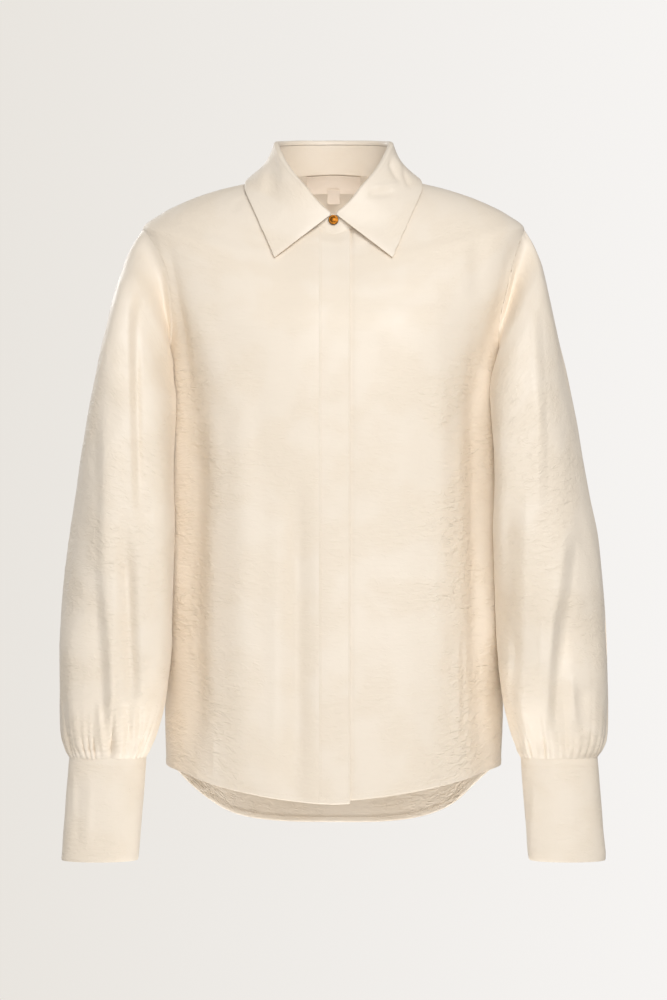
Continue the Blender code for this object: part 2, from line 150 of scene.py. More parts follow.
def cloudy(points: Grid, cell: Sequence[float], seed: float) -> Grid:
    """Gives smooth noise through space.

    Space is cut into cells. Each corner has a random value, and a point takes the blend of its
    cell's eight corners, eased so that slopes meet from cell to cell.

    Args:
        points: Places, in millimetres.
        cell: The cell's size along x, y and z, in millimetres.
        seed: Picks the values.

    Returns:
        Numbers from -1 to 1.
    """
    place = points / np.array(cell)
    corner = np.floor(place)
    share = ease(place - corner)
    total = np.zeros(points.shape[:-1])
    for step in itertools.product((0.0, 1.0), repeat=3):
        weight = np.abs(1 - np.array(step) - share).prod(axis=-1)
        spot = (corner + step) @ np.array((1.0, 57.31, 113.77))
        total += weight * random_at(spot, seed)
    return total


class Swell(NamedTuple):
    """A slow unevenness of cloth: noise of a height, with its cell's size and its seed."""

    height: float
    cell: tuple[float, float, float]
    seed: float


def swells_at(swells: Sequence[Swell], points: Grid) -> Grid:
    """Adds up swells."""
    return sum(swell.height * cloudy(points, swell.cell, swell.seed) for swell in swells)


def full_turn(count: int) -> Grid:
    """Gives a row of even angles, from 0 round to just short of a full turn."""
    return np.linspace(0, 2 * math.pi, count, endpoint=False)[None, :]


def on_side(side: Side, *grids: Grid) -> tuple[Grid, ...]:
    """Mirrors grids made at +X for the right side, with their columns turned round."""
    if side is Side.LEFT:
        return grids
    return tuple(grid[:, ::-1] * np.array((-1.0, 1.0, 1.0)) for grid in grids)


class Fold(NamedTuple):
    """A soft trough, or a ridge where out is positive, that runs down a ring-built form."""

    centre: float
    width: float
    out: float
    top: float
    bottom: float


def folds_at(folds: Sequence[Fold], turn: Grid, along: Grid, fade: float) -> Grid:
    """Adds up folds: each a bell across, centred at an angle, and eased out at its two ends.

    Args:
        folds: Centre and width in degrees, the rest in millimetres.
        turn: Angle of each point, in radians.
        along: Place of each point along the form.
        fade: Length of each end, in millimetres.

    Returns:
        How far the cloth stands out.
    """
    total = np.zeros(np.broadcast(turn, along).shape)
    for fold in folds:
        apart = (np.degrees(turn) - fold.centre + 180.0) % 360.0 - 180.0
        low, high = min(fold.top, fold.bottom), max(fold.top, fold.bottom)
        ends = ease((along - low) / fade) * ease((high - along) / fade)
        total += fold.out * bell(apart, fold.width) * ends
    return total


class Crease(NamedTuple):
    """A soft line pressed into the cloth, or raised from it, as it lies seen from the front.

    A bow above 0 carries the middle of a line that runs down towards smaller x. A step moves all
    the cloth on one side of its line: that of the smaller x where the line runs down, and that of
    the larger x where it runs up.
    """

    x: float
    z: float
    to_x: float
    to_z: float
    width: float
    out: float
    bow: float = 0.0
    step: bool = False


STEP = True


def creased(*rows: tuple[float, ...]) -> tuple[Crease, ...]:
    """Makes creases from rows of their values."""
    return tuple(Crease(*row) for row in rows)


def creases_at(creases: Sequence[Crease], points: Grid, facing: Grid) -> Grid:
    """Adds up creases: each a bell about a bowed line, or a soft step at it, eased at both ends.

    A point's place along the line is its share t of the way, and the line bows aside by
    4t(1 - t) times its bow.

    Args:
        creases: Lines in the plane of x and z, in millimetres.
        points: Points of the cloth.
        facing: 1 where a point lies on the side that the creases are on, 0 on the other.

    Returns:
        How far the cloth stands out.
    """
    x, z = points[..., 0], points[..., 2]
    total = np.zeros(x.shape)
    for line in creases:
        run_x, run_z = line.to_x - line.x, line.to_z - line.z
        length = math.hypot(run_x, run_z)
        share = ((x - line.x) * run_x + (z - line.z) * run_z) / length**2
        aside = ((x - line.x) * run_z - (z - line.z) * run_x) / length
        aside = aside - line.bow * 4 * share * (1 - share)
        ends = ease(share / 0.3) * ease((1 - share) / 0.3)
        shape = ease(0.5 + aside / (2 * line.width)) if line.step else bell(aside, line.width)
        total += line.out * shape * ends
    return total * facing


@dataclass(frozen=True)
class CurveTable:
    """Columns of sizes against their first column, joined by monotone cubic curves.

    Attributes:
        columns: The columns' names, with spaces between.
        rows: One tuple of numbers for each row, the first column rising.
    """

    columns: str
    rows: tuple[tuple[float, ...], ...]

    def at(self, key: Grid | float) -> dict[str, Grid]:
        """Reads every column at the given values of the first.

        Between two rows a column follows the cubic that has the columns' slopes at both, where a
        row's slope is the harmonic mean of the slopes beside it, and level at a peak.

        Args:
            key: Values of the first column.

        Returns:
            The other columns by name.
        """
        values = np.array(self.rows, float)
        keys = values[:, 0]
        step = np.diff(keys)[:, None]
        rise = np.diff(values[:, 1:], axis=0) / step
        slope = np.zeros_like(values[:, 1:])
        slope[0], slope[-1] = rise[0], rise[-1]
        before, after = rise[:-1], rise[1:]
        same_way = before * after > 0
        both = np.where(same_way, before + after, 1.0)
        slope[1:-1] = np.where(same_way, 2 * before * after / both, 0.0)
        key = np.clip(np.asarray(key, float), keys[0], keys[-1])
        low = np.clip(np.searchsorted(keys, key, side="right") - 1, 0, len(keys) - 2)
        long = step[low]
        u = ((key - keys[low]) / long[..., 0])[..., None]
        found = (
            values[low, 1:] * (1 + 2 * u) * (1 - u) ** 2
            + slope[low] * long * u * (1 - u) ** 2
            + values[low + 1, 1:] * u**2 * (3 - 2 * u)
            + slope[low + 1] * long * u**2 * (u - 1)
        )
        return {name: found[..., n] for n, name in enumerate(self.columns.split()[1:])}


# --- Finishes ---------------------------------------------------------------------------------


def linear(hex_colour: str) -> tuple[float, float, float, float]:
    """Turns an sRGB hex colour into linear red, green, blue and alpha."""
    parts = [int(hex_colour.lstrip("#")[n : n + 2], 16) / 255 for n in (0, 2, 4)]
    low = [part / 12.92 if part <= 0.04045 else ((part + 0.055) / 1.055) ** 2.4 for part in parts]
    return low[0], low[1], low[2], 1.0


def add_node(
    tree: bpy.types.NodeTree, kind: str, inputs: dict[str | int, Any] | None = None, **settings: Any
) -> bpy.types.Node:
    """Adds a shader node.

    Args:
        tree: The node tree.
        kind: The node's Blender type.
        inputs: Socket names or numbers, each with a value or the output socket to link from.
        settings: The node's own properties.

    Returns:
        The node.
    """
    node = tree.nodes.new(kind)
    for name, value in settings.items():
        setattr(node, name, value)
    for name, value in (inputs or {}).items():
        if isinstance(value, bpy.types.NodeSocket):
            tree.links.new(value, node.inputs[name])
        else:
            node.inputs[name].default_value = value
    return node


def new_material(name: str) -> tuple[bpy.types.Material, bpy.types.NodeTree]:
    """Makes an empty node material and gives it with its tree."""
    made = bpy.data.materials.new(name)
    made.use_nodes = True
    made.node_tree.nodes.clear()
    return made, made.node_tree


def close_material(tree: bpy.types.NodeTree, inputs: dict[str | int, Any]) -> None:
    """Ends a material with a principled surface that has these inputs."""
    surface = add_node(tree, "ShaderNodeBsdfPrincipled", inputs).outputs[0]
    add_node(tree, "ShaderNodeOutputMaterial", {"Surface": surface})


def object_place(tree: bpy.types.NodeTree) -> Socket:
    """Gives Object coordinates."""
    return add_node(tree, "ShaderNodeTexCoord").outputs["Object"]


def cloth_place(tree: bpy.types.NodeTree) -> Socket:
    """Gives the piece's own UV map, in metres."""
    return add_node(tree, "ShaderNodeUVMap", uv_map=UV_NAME).outputs["UV"]


def speckle(tree: bpy.types.NodeTree, cell: float, detail: float) -> Socket:
    """Gives a noise on Object coordinates, its cell's size in millimetres."""
    terms = {"Vector": object_place(tree), "Scale": 1 / (cell * MM), "Detail": detail}
    return add_node(tree, "ShaderNodeTexNoise", terms).outputs[0]


def combined(tree: bpy.types.NodeTree, kind: str, first: Socket, second: Socket | float) -> Socket:
    """Does one sum with two values."""
    return add_node(tree, "ShaderNodeMath", {0: first, 1: second}, operation=kind).outputs[0]


def mapped(
    tree: bpy.types.NodeTree, value: Socket, ends: Sequence[float], smooth: bool = False
) -> Socket:
    """Maps a value from one range to another.

    Args:
        tree: The node tree.
        value: What to map.
        ends: The first range's ends, then the second's.
        smooth: Whether it is eased at both ends.

    Returns:
        The mapped value.
    """
    names = ("From Min", "From Max", "To Min", "To Max")
    terms = {"Value": value, **dict(zip(names, ends))}
    kind = "SMOOTHSTEP" if smooth else "LINEAR"
    return add_node(tree, "ShaderNodeMapRange", terms, interpolation_type=kind).outputs[0]


def blended(tree: bpy.types.NodeTree, share: Socket, first: str, second: str) -> Socket:
    """Blends two hex colours by a share."""
    terms = {0: share, 6: linear(first), 7: linear(second)}
    return add_node(tree, "ShaderNodeMix", terms, data_type="RGBA").outputs[2]


def bumped(
    tree: bpy.types.NodeTree, height: Socket, depth: float, normal: Socket | None = None,
    strength: float = 1.0,
) -> Socket:
    """Tilts a normal by a pattern of heights.

    Args:
        tree: The node tree.
        height: The pattern, from 0 to 1.
        depth: What 1 stands for, in millimetres.
        normal: The normal to start from, the surface's own if none is given.
        strength: Share of the tilt that is kept.

    Returns:
        The tilted normal.
    """
    terms = {"Height": height, "Distance": depth * MM, "Strength": strength}
    if normal is not None:
        terms["Normal"] = normal
    return add_node(tree, "ShaderNodeBump", terms).outputs[0]


def threads(
    tree: bpy.types.NodeTree, spacing: float, waver: float, way: str, depth: float
) -> Socket:
    """Gives the normal of cloth with threads drawn this far apart and this deep, in millimetres."""
    terms = {"Vector": cloth_place(tree), "Scale": 0.5 / (spacing * MM), "Distortion": waver}
    wave = add_node(tree, "ShaderNodeTexWave", terms, bands_direction=way)
    return bumped(tree, wave.outputs[1], depth)


@dataclass(frozen=True)
class ViscoseSatin:
    """Cream viscose satin, woven with long floats and washed so that it crinkles.

    The floats give a broad soft gloss, and the washing leaves short wavy creases in patches, which
    catch that gloss as light and dark flecks.

    Attributes:
        name: The material's name.
        crease_length: Length of a fleck, in millimetres.
        crease_height: Spacing from fleck to fleck, in millimetres.
        crease_turn: Direction of the flecks on the cloth, in degrees from crossways.
        crease_depth: How deep the flecks are pressed, in millimetres.
        calm: Share of that depth at the shoulders, which hang smooth.
        middle: Share of it at the front's middle.
        base: Colour of the yarn.
        shade: Colour where the floats lie closer.
        roughness: Roughness of the floats.
        patch: Size of the patches in which the flecks are calm or strong, in millimetres.
        thread: Spacing at which threads are drawn. The real ones, about 0.1 mm apart, are too fine
            to show.
        thread_depth: How deep they are drawn, in millimetres.
    """

    name: str
    crease_length: float = 13.0
    crease_height: float = 4.2
    crease_turn: float = 0.0
    crease_depth: float = 1.0
    calm: float = 0.3
    middle: float = 1.0
    base: str = "#F5EADB"
    shade: str = "#F1E4D2"
    roughness: float = 0.5
    patch: float = 60.0
    thread: float = 0.9
    thread_depth: float = 0.012

    def material(self) -> bpy.types.Material:
        """Builds the material, its patterns on the piece's own UV map in metres.

        Soft wavy creases lie everywhere, and over them short crests, where a noise crosses its
        middle and a second one is high. Both are calm at the shoulders, and in their patches.
        """
        made, tree = new_material(self.name)
        place = cloth_place(tree)
        turn = (0.0, 0.0, math.radians(self.crease_turn))
        found: dict[str, Socket] = {}
        for name, length, height, detail, warp in (
            ("soft", self.crease_length, self.crease_height, 2.0, 0.5),
            ("crossing", self.crease_length * 1.1, self.crease_height * 1.4, 1.0, 0.8),
            ("dashes", 9.0, 7.0, 0.0, 0.0), ("patches", self.patch, self.patch, 2.0, 0.0),
        ):
            scale = (1 / (length * MM), 1 / (height * MM), 1.0)
            terms = {"Vector": place, "Rotation": turn, "Scale": scale}
            turned = add_node(tree, "ShaderNodeMapping", terms).outputs[0]
            terms = {"Vector": turned, "Scale": 1.0, "Detail": detail, "Distortion": warp}
            noise = add_node(tree, "ShaderNodeTexNoise", terms, noise_dimensions="2D")
            found[name] = noise.outputs[0]
        parts = add_node(tree, "ShaderNodeSeparateXYZ", {0: object_place(tree)}).outputs
        found.update(x=parts[0], height=parts[2])
        for name, kind, first, second in (
            ("aside", "ABSOLUTE", "x", 0.0), ("offset", "SUBTRACT", "crossing", 0.5),
            ("apart", "ABSOLUTE", "offset", 0.0),
        ):
            found[name] = combined(tree, kind, found[first], second)
        for name, source, ends in (
            ("crest", "apart", (0.0, 0.16, 1.0, 0.0)), ("short", "dashes", (0.4, 0.6, 0.0, 0.34)),
            ("patchy", "patches", (0.36, 0.62, 0.4, 1.0)),
            ("low", "height", (-0.08, -0.28, self.calm, 1.0)),
            ("outer", "aside", (0.07, 0.13, self.middle, 1.0)),
            ("gloss", "patches", (0.3, 0.7, self.roughness - 0.04, self.roughness + 0.05)),
        ):
            found[name] = mapped(tree, found[source], ends, smooth=True)
        for name, kind, first, second in (
            ("crests", "MULTIPLY", "crest", "short"), ("creased", "ADD", "soft", "crests"),
            ("where", "MULTIPLY", "patchy", "low"), ("deep", "MULTIPLY", "where", "outer"),
            ("pressed", "MULTIPLY", "creased", "deep"),
        ):
            found[name] = combined(tree, kind, found[first], found[second])
        fine = threads(tree, self.thread, 1.2, "DIAGONAL", self.thread_depth)
        surface = {
            "Base Color": blended(tree, found["patchy"], self.base, self.shade),
            "Roughness": found["gloss"], "IOR": 1.5, "Specular IOR Level": 0.55,
            "Sheen Weight": 0.15, "Sheen Roughness": 0.4,
            "Normal": bumped(tree, found["pressed"], self.crease_depth, fine),
        }
        close_material(tree, surface)
        return made


@dataclass(frozen=True)
class AgedBrass:
    """Turned and lightly aged brass: a warm mirror, dulled in small clouds."""

    name: str = "aged turned brass"
    metal: str = "#835018"
    dark: str = "#2C1B09"
    cloud: float = 1.5

    def material(self) -> bpy.types.Material:
        """Builds the material, its age in small clouds on Object coordinates."""
        made, tree = new_material(self.name)
        age = speckle(tree, self.cloud, 4.0)
        surface = {
            "Base Color": blended(tree, age, self.metal, self.dark),
            "Roughness": mapped(tree, age, (0.3, 0.7, 0.16, 0.3)), "Metallic": 1.0,
        }
        close_material(tree, surface)
        return made


@dataclass(frozen=True)
class WovenRibbon:
    """Polyester ribbon in a plain weave: smooth, flat and slightly shiny, with fine ribs."""

    name: str = "woven polyester ribbon"
    colour: str = "#F3E4D3"
    rib: float = 0.6
    rib_depth: float = 0.04

    def material(self) -> bpy.types.Material:
        """Builds the material, its ribs across the piece's own UV map."""
        made, tree = new_material(self.name)
        surface = {
            "Base Color": linear(self.colour), "Roughness": 0.42, "Sheen Weight": 0.1,
            "Normal": threads(tree, self.rib, 0.2, "Y", self.rib_depth),
        }
        close_material(tree, surface)
        return made


@dataclass(frozen=True)
class SewingThread:
    """Spun polyester thread, matt, a shade darker than the cloth it lies on."""

    name: str = "spun polyester thread"
    colour: str = "#EFE2CF"
    twist: float = 0.4
    twist_depth: float = 0.05

    def material(self) -> bpy.types.Material:
        """Builds the material, with its twist as a fine noise on Object coordinates."""
        made, tree = new_material(self.name)
        twisted = bumped(tree, speckle(tree, self.twist, 1.0), self.twist_depth)
        surface = {"Base Color": linear(self.colour), "Roughness": 0.6, "Normal": twisted}
        close_material(tree, surface)
        return made


@dataclass(frozen=True)
class Finishes:
    """Every finish of the blouse, built once."""

    body: bpy.types.Material
    sleeve: bpy.types.Material
    trim: bpy.types.Material
    brass: bpy.types.Material
    ribbon: bpy.types.Material
    thread: bpy.types.Material

    @classmethod
    def build(cls) -> Finishes:
        """Builds the materials."""
        return cls(
            body=ViscoseSatin("viscose satin, body", crease_depth=1.25, middle=0.3).material(),
            sleeve=ViscoseSatin(
                "viscose satin, sleeve", crease_length=11.0, crease_turn=28.0, crease_depth=0.75
            ).material(),
            trim=ViscoseSatin(
                "viscose satin, doubled", crease_turn=65.0, crease_depth=0.5, calm=0.8
            ).material(),
            brass=AgedBrass().material(),
            ribbon=WovenRibbon().material(),
            thread=SewingThread().material(),
        )


# --- Meshes -----------------------------------------------------------------------------------


def new_object(
    name: str, points: Grid, faces: Sequence[Grid], finish: bpy.types.Material
) -> bpy.types.Object:
    """Puts points and faces into a smooth mesh object at the origin.

    Args:
        name: The piece's name.
        points: Its points, in millimetres.
        faces: Arrays of vertex numbers, one array for each number of corners.
        finish: Its material.

    Returns:
        The object, linked to the scene.
    """
    mesh = bpy.data.meshes.new(name)
    polygons = [face for group in faces for face in group.tolist()]
    mesh.from_pydata((points.reshape(-1, 3) * MM).tolist(), [], polygons)
    mesh.materials.append(finish)
    mesh.shade_smooth()
    mesh.set_sharp_from_angle(angle=math.radians(60.0))
    made = bpy.data.objects.new(name, mesh)
    bpy.context.scene.collection.objects.link(made)
    return made


def band_faces(rows: int, columns: int, closed: bool, width: int) -> Grid:
    """Gives the quads of a grid as numbers into rows of the given width.

    Args:
        rows: How many rows of points.
        columns: How many columns of points.
        closed: Whether the last column joins the first.
        width: How many numbers a row takes, one more than columns where a seam column is added.

    Returns:
        Four numbers for each quad, anticlockwise.
    """
    across = columns if closed else columns - 1
    row, column = np.meshgrid(np.arange(rows - 1), np.arange(across), indexing="ij")
    right = (column + 1) % width
    corners = (row * width + column, row * width + right)
    above = ((row + 1) * width + right, (row + 1) * width + column)
    return np.stack((*corners, *above), axis=-1).reshape(-1, 4)


def rim_faces(rows: int, columns: int, closed: bool, width: int, inner: int) -> Grid:
    """Gives the quads that join the edges of an outer grid to those of the inner one.

    Args:
        rows: How many rows of points.
        columns: How many columns of points.
        closed: Whether the last column joins the first.
        width: How many numbers a row takes.
        inner: Number to add for the same point of the inner grid.

    Returns:
        Four numbers for each quad, anticlockwise from outside.
    """
    across = columns if closed else columns - 1
    here = np.arange(across)
    after = (here + 1) % width
    top = (rows - 1) * width
    rims = [(after, here), (here + top, after + top)]
    if not closed:
        row = np.arange(rows - 1) * width
        side = row + columns - 1
        rims += [(row, row + width), (side + width, side)]
    return np.concatenate([np.stack((a, b, b + inner, a + inner), axis=-1) for a, b in rims])


def cloth_shell(
    name: str, outer: Grid, inner: Grid, finish: bpy.types.Material, closed: bool = False,
    origin: tuple[float, float] = (0.0, 0.0), anchor: int | None = None,
) -> bpy.types.Object:
    """Makes a closed shell of cloth between an outer and an inner grid, with a UV map in metres.

    The map's u is the length run along each row and its v the length run along each column, so
    a pattern keeps its size and follows the cloth.

    Args:
        name: The piece's name.
        outer: Rows of columns of points, which face out.
        inner: The same for the inside.
        finish: The cloth.
        closed: Whether the grid is a tube.
        origin: Added to the map, so that pieces don't repeat each other, in metres.
        anchor: The column from which u is measured: the middle one if none is given.

    Returns:
        The object.
    """
    rows, columns = outer.shape[:2]
    count = rows * columns
    sheet = band_faces(rows, columns, closed, columns)
    rims = rim_faces(rows, columns, closed, columns, count)
    faces = np.concatenate((sheet, sheet[:, ::-1] + count, rims))
    made = new_object(name, np.stack((outer, inner)), [faces], finish)
    seam = np.concatenate((outer, outer[:, :1]), axis=1) if closed else outer
    width = seam.shape[1]
    u = run_length(seam, 1)
    u = u - u[:, [width // 2 if anchor is None else anchor]]
    v = run_length(seam, 0).mean(axis=1, keepdims=True) + 0 * u
    flat = np.stack((u * MM + origin[0], v * MM + origin[1]), axis=-1).reshape(-1, 2)
    sheet = band_faces(rows, columns, closed, width)
    rims = rim_faces(rows, columns, closed, width, 0)
    loops = np.concatenate((sheet, sheet[:, ::-1], rims)).ravel()
    layer = made.data.uv_layers.new(name=UV_NAME)
    layer.data.foreach_set("uv", flat[loops].ravel())
    return made


# --- The body ---------------------------------------------------------------------------------


@dataclass(frozen=True)
class BodyForm:
    """The tall form that the body's panels lie on: a ring at each height of the side seam.

    A ring is a superellipse: x is half times sin^(2/n) of the angle from centre front and y is
    depth times cos^(2/n), with n its squareness. Its height changes from the side's to the
    middle's by 1 - |sin|^sweep, which slopes the shoulders and drops the tails of the hem.

    Attributes:
        rings: The ring at each side height: its height at the middles, its size and its shape.
        turn_step: Step round a ring by which a normal is measured, in radians.
        rise_step: The same up the side.
        fold_fade: Length over which a fold ends.
        swells: The cloth's slow unevenness.
        crinkle: Its pressed crinkle, strongest low down and in patches.
        patches: Where the crinkle is strong.
    """

    rings: CurveTable = CurveTable(
        "height front_z back_z half front back square front_sweep back_sweep",
        (
            (-607, -638, -681, 174, 124, 120, 2.5, 1.3, 3.2),
            (-555, -572, -592, 174, 123, 119, 2.5, 1.3, 3.0),
            (-480, -485, -490, 174, 118, 112, 2.5, 1.3, 2.4),
            (-370, -371, -372, 174, 112, 100, 2.5, 1.3, 2.0),
            (-260, -260, -260, 174, 120, 107, 2.4, 1.4, 1.7),
            (-198, -200, -197, 177, 124, 113, 2.4, 1.5, 1.7),
            (-150, -157, -148, 184.5, 122, 116, 2.35, 1.6, 1.7),
            (-100, -121, -97, 194, 110, 112, 2.25, 1.7, 1.7),
            (-46, -86, -38, 200, 91, 100, 2.1, 1.7, 1.7),
            (-30, -78, -22, 181, 86, 93, 2.0, 1.7, 1.7), (-15, -72, -6, 150, 82, 84, 2.0, 1.7, 1.7),
            (-4, -67, 5, 117, 79, 75, 2.0, 1.7, 1.7), (4, -62, 13, 85, 75, 67, 2.0, 1.7, 1.7),
            (11, -58, 19, 66, 72, 60, 2.0, 1.7, 1.7),
        ),
    )
    hem: float = -607.0
    armhole_low: float = -198.0
    armhole_top: float = -46.0
    neck: float = 11.0
    turn_step: float = 0.01
    rise_step: float = 0.5
    fold_fade: float = 90.0
    swells: tuple[Swell, ...] = (Swell(0.9, (46, 46, 240), 3.1), Swell(0.45, (21, 21, 62), 8.4))
    crinkle: Swell = Swell(0.12, (26, 26, 9), 5.7)
    patches: Swell = Swell(1.4, (58, 58, 44), 1.9)
    folds: tuple[Fold, ...] = (
        Fold(-88, 9, 3, -230, -640), Fold(-62, 14, -6.5, -100, -660), Fold(-21, 8, 3, -280, -650),
        Fold(-8, 5, -3, -300, -690), Fold(24, 10, 3, -100, -640), Fold(62, 13, -6.5, -90, -660),
        Fold(88, 8, 3, -220, -640), Fold(124, 12, -6, -90, -660), Fold(147, 11, 4, -160, -690),
        Fold(177, 13, -5, -60, -690), Fold(-157, 10, 4, -120, -690), Fold(-135, 12, -7, -100, -650),
    )
    front_creases: tuple[Crease, ...] = creased(
        (-94, -150, -94, -660, 14, 4), (-143, -150, -143, -660, 16, -7),
        (-170, -150, -170, -540, 9, 3), (169, -150, 169, -580, 8, 5),
        (153, -150, 153, -600, 8, -1.5), (-152, -110, -98, -250, 12, 2.2),
        (-36, -280, -35, -660, 9, -3), (-56, -300, -56, -640, 9, 1.6),
        (-122, -566, -122, -622, 3, 1.2), (-176, -46, -156, -225, 6, -2, -6),
        (195, -40, 162, -205, 7, -2, 3.5), (-158, -100, -150, -250, 7, -1.2, 3),
        (134, -450, 134, -592, 3, -1.2), (127, -470, 127, -600, 5, 1),
        (40, -160, 48, -222, 14, -1.2), (152, -46, 150, -135, 10, -2, 3),
        (145, -100, 146, -600, 15, -5, -2), (106, -110, 104, -600, 12, 3, -3),
        (-98, -15, -103, -34, 3, -1),
    )
    back_creases: tuple[Crease, ...] = creased(
        (150, -170, 92, -265, 9, -3.2, 8), (-152, -176, -100, -280, 9, -3, -9),
        (-62, -290, -66, -640, 9, 3.4), (48, -270, 52, -660, 9, -3.6, 4),
        (108, -330, 112, -640, 8, 2.8), (-112, -320, -110, -630, 8, -3),
        (-20, -430, -24, -670, 6, 2), (84, -520, 86, -650, 4, -1.8),
    )

    def point(self, angle: Grid, height: Grid) -> Grid:
        """Gives the form's point at an angle from centre front on the ring at a side height."""
        ring = self.rings.at(height)
        across, along = np.sin(angle), np.cos(angle)
        power = 2.0 / ring["square"]
        before = along > 0
        depth = np.where(before, ring["front"], ring["back"])
        middle_z = np.where(before, ring["front_z"], ring["back_z"])
        sweep = np.where(before, ring["front_sweep"], ring["back_sweep"])
        fall = 1.0 - np.abs(across) ** sweep
        return np.stack(
            (
                ring["half"] * signed_power(across, power), -depth * signed_power(along, power),
                height + (middle_z - height) * fall,
            ),
            axis=-1,
        )

    def normal(self, angle: Grid, height: Grid) -> Grid:
        """Gives the form's outward normal, from small steps sideways and upwards."""
        turn, rise = self.turn_step, self.rise_step
        sideways = self.point(angle + turn, height) - self.point(angle - turn, height)
        upwards = self.point(angle, height + rise) - self.point(angle, height - rise)
        return unit(np.cross(sideways, upwards))

    def relief(self, angle: Grid, height: Grid, points: Grid) -> Grid:
        """Adds up what the cloth does on the form: its folds, slow swells and pressed creases."""
        calm = 0.3 + 0.7 * ease((self.armhole_top - 20 - height) / 120.0)
        low = ease((-120.0 - height) / 250.0)
        patch = ease(0.45 + swells_at([self.patches], points))
        noise = cloudy(points, self.crinkle.cell, self.crinkle.seed)
        pressed = noise * patch * (0.1 + self.crinkle.height * low)
        before = ease(0.5 - points[..., 1] / 30.0)
        creases = creases_at(self.front_creases, points, before)
        creases = creases + creases_at(self.back_creases, points, 1 - before)
        folds = folds_at(self.folds, angle, height, self.fold_fade)
        return folds + calm * (swells_at(self.swells, points) + pressed) + creases

    def surface(self, angle: Grid, height: Grid, lift: Grid | float = 0.0) -> Grid:
        """Gives a point of the body's cloth, moved out along the form's normal by lift."""
        angle, height = np.broadcast_arrays(np.asarray(angle, float), np.asarray(height, float))
        height = np.clip(height, self.hem + self.rise_step, self.neck - self.rise_step)
        points = self.point(angle, height)
        lift = lift + self.relief(angle, height, points)
        return points + self.normal(angle, height) * lift[..., None]

    def polar(self, angle: Grid, height: Grid) -> Grid:
        """Gives the angle of the straight line to a point, on a ring drawn as a circle."""
        power = 2.0 / self.rings.at(height)["square"]
        return np.arctan2(signed_power(np.sin(angle), power), signed_power(np.cos(angle), power))

    def from_polar(self, polar: Grid, height: Grid) -> Grid:
        """Turns that line's angle back into the ring's own angle."""
        power = self.rings.at(height)["square"] / 2.0
        return np.arctan2(signed_power(np.sin(polar), power), signed_power(np.cos(polar), power))

    def angle_at(self, x: Grid | float, height: Grid) -> Grid:
        """Gives the angle, at the front, at which the ring is x from the middle."""
        ring = self.rings.at(height)
        share = np.clip(np.abs(x) / ring["half"], 0.0, 1.0)
        return np.sign(x) * np.arcsin(share ** (ring["square"] / 2.0))

    def clear(self, points: Grid, clearance: Grid | float, levels: tuple[float, float]) -> Grid:
        """Moves points that are nearer to the body than the clearance out along its normal.

        Each point is measured from the nearest of a mesh of places on the body's cloth, along
        that place's normal.

        Args:
            points: A grid of points.
            clearance: The least distance, in millimetres.
            levels: The lowest and highest side height to look at.

        Returns:
            The moved grid.
        """
        grids = np.broadcast_arrays(full_turn(160), np.linspace(*levels, 60)[:, None])
        turns, heights = (grid.ravel() for grid in grids)
        surface, normal = self.surface(turns, heights), self.normal(turns, heights)
        square = (surface**2).sum(axis=1)[None, :]
        moved = []
        wanted = np.broadcast_to(clearance, points.shape[:-1])
        for row, least in zip(points, wanted):
            apart = square - 2 * row @ surface.T
            nearest = apart.argmin(axis=1)
            gap = ((row - surface[nearest]) * normal[nearest]).sum(axis=1)
            moved.append(row + normal[nearest] * np.clip(least - gap, 0.0, None)[:, None])
        return np.stack(moved)


@dataclass(frozen=True)
class Armhole:
    """The curve in which a sleeve meets the body.

    Attributes:
        front_cut: How far it is cut into the front, in degrees of the body's ring.
        front_power: Below 1, the edge leaves the shoulder and the underarm more steeply.
        front_lean: How much more of the cut lies in its upper half, as a share.
        back_cut: How far it is cut into the back, in degrees.
    """

    form: BodyForm
    side: Side
    front_cut: float
    front_power: float
    front_lean: float = 0.0
    back_cut: float = 24.0

    def cut(self, turn: Grid, before: bool | Grid) -> Grid:
        """Gives the cut in radians: the whole cut times |sin|^power, leaning to the upper half."""
        swing = np.abs(np.sin(turn))
        front = self.front_cut * swing**self.front_power * (1 + self.front_lean * np.cos(turn))
        return np.radians(np.where(before, front, self.back_cut * swing))

    def height(self, turn: Grid) -> Grid:
        """Gives the side height of the curve at a turn round the sleeve."""
        form = self.form
        return form.armhole_low + (form.armhole_top - form.armhole_low) * (1 + np.cos(turn)) / 2

    def place(self, turn: Grid) -> tuple[Grid, Grid]:
        """Gives (angle, height) of the edge at a turn round the sleeve: outside, front, inside."""
        before = np.sin(turn) > 0
        cut = np.where(before, 1.0, -1.0) * self.cut(turn, before)
        return self.side.value * (QUARTER - cut), self.height(turn)

    def edge(self, turn: Grid) -> Grid:
        """Gives the points of the body's edge."""
        return self.form.surface(*self.place(turn))

    def run_on(self, turn: Grid) -> Grid:
        """Gives the direction in which the body's own surface would run on past the edge."""
        edge = self.edge(turn)
        along = np.roll(edge, -1, axis=-2) - np.roll(edge, 1, axis=-2)
        return unit(np.cross(self.form.normal(*self.place(turn)), along)) * self.side.value


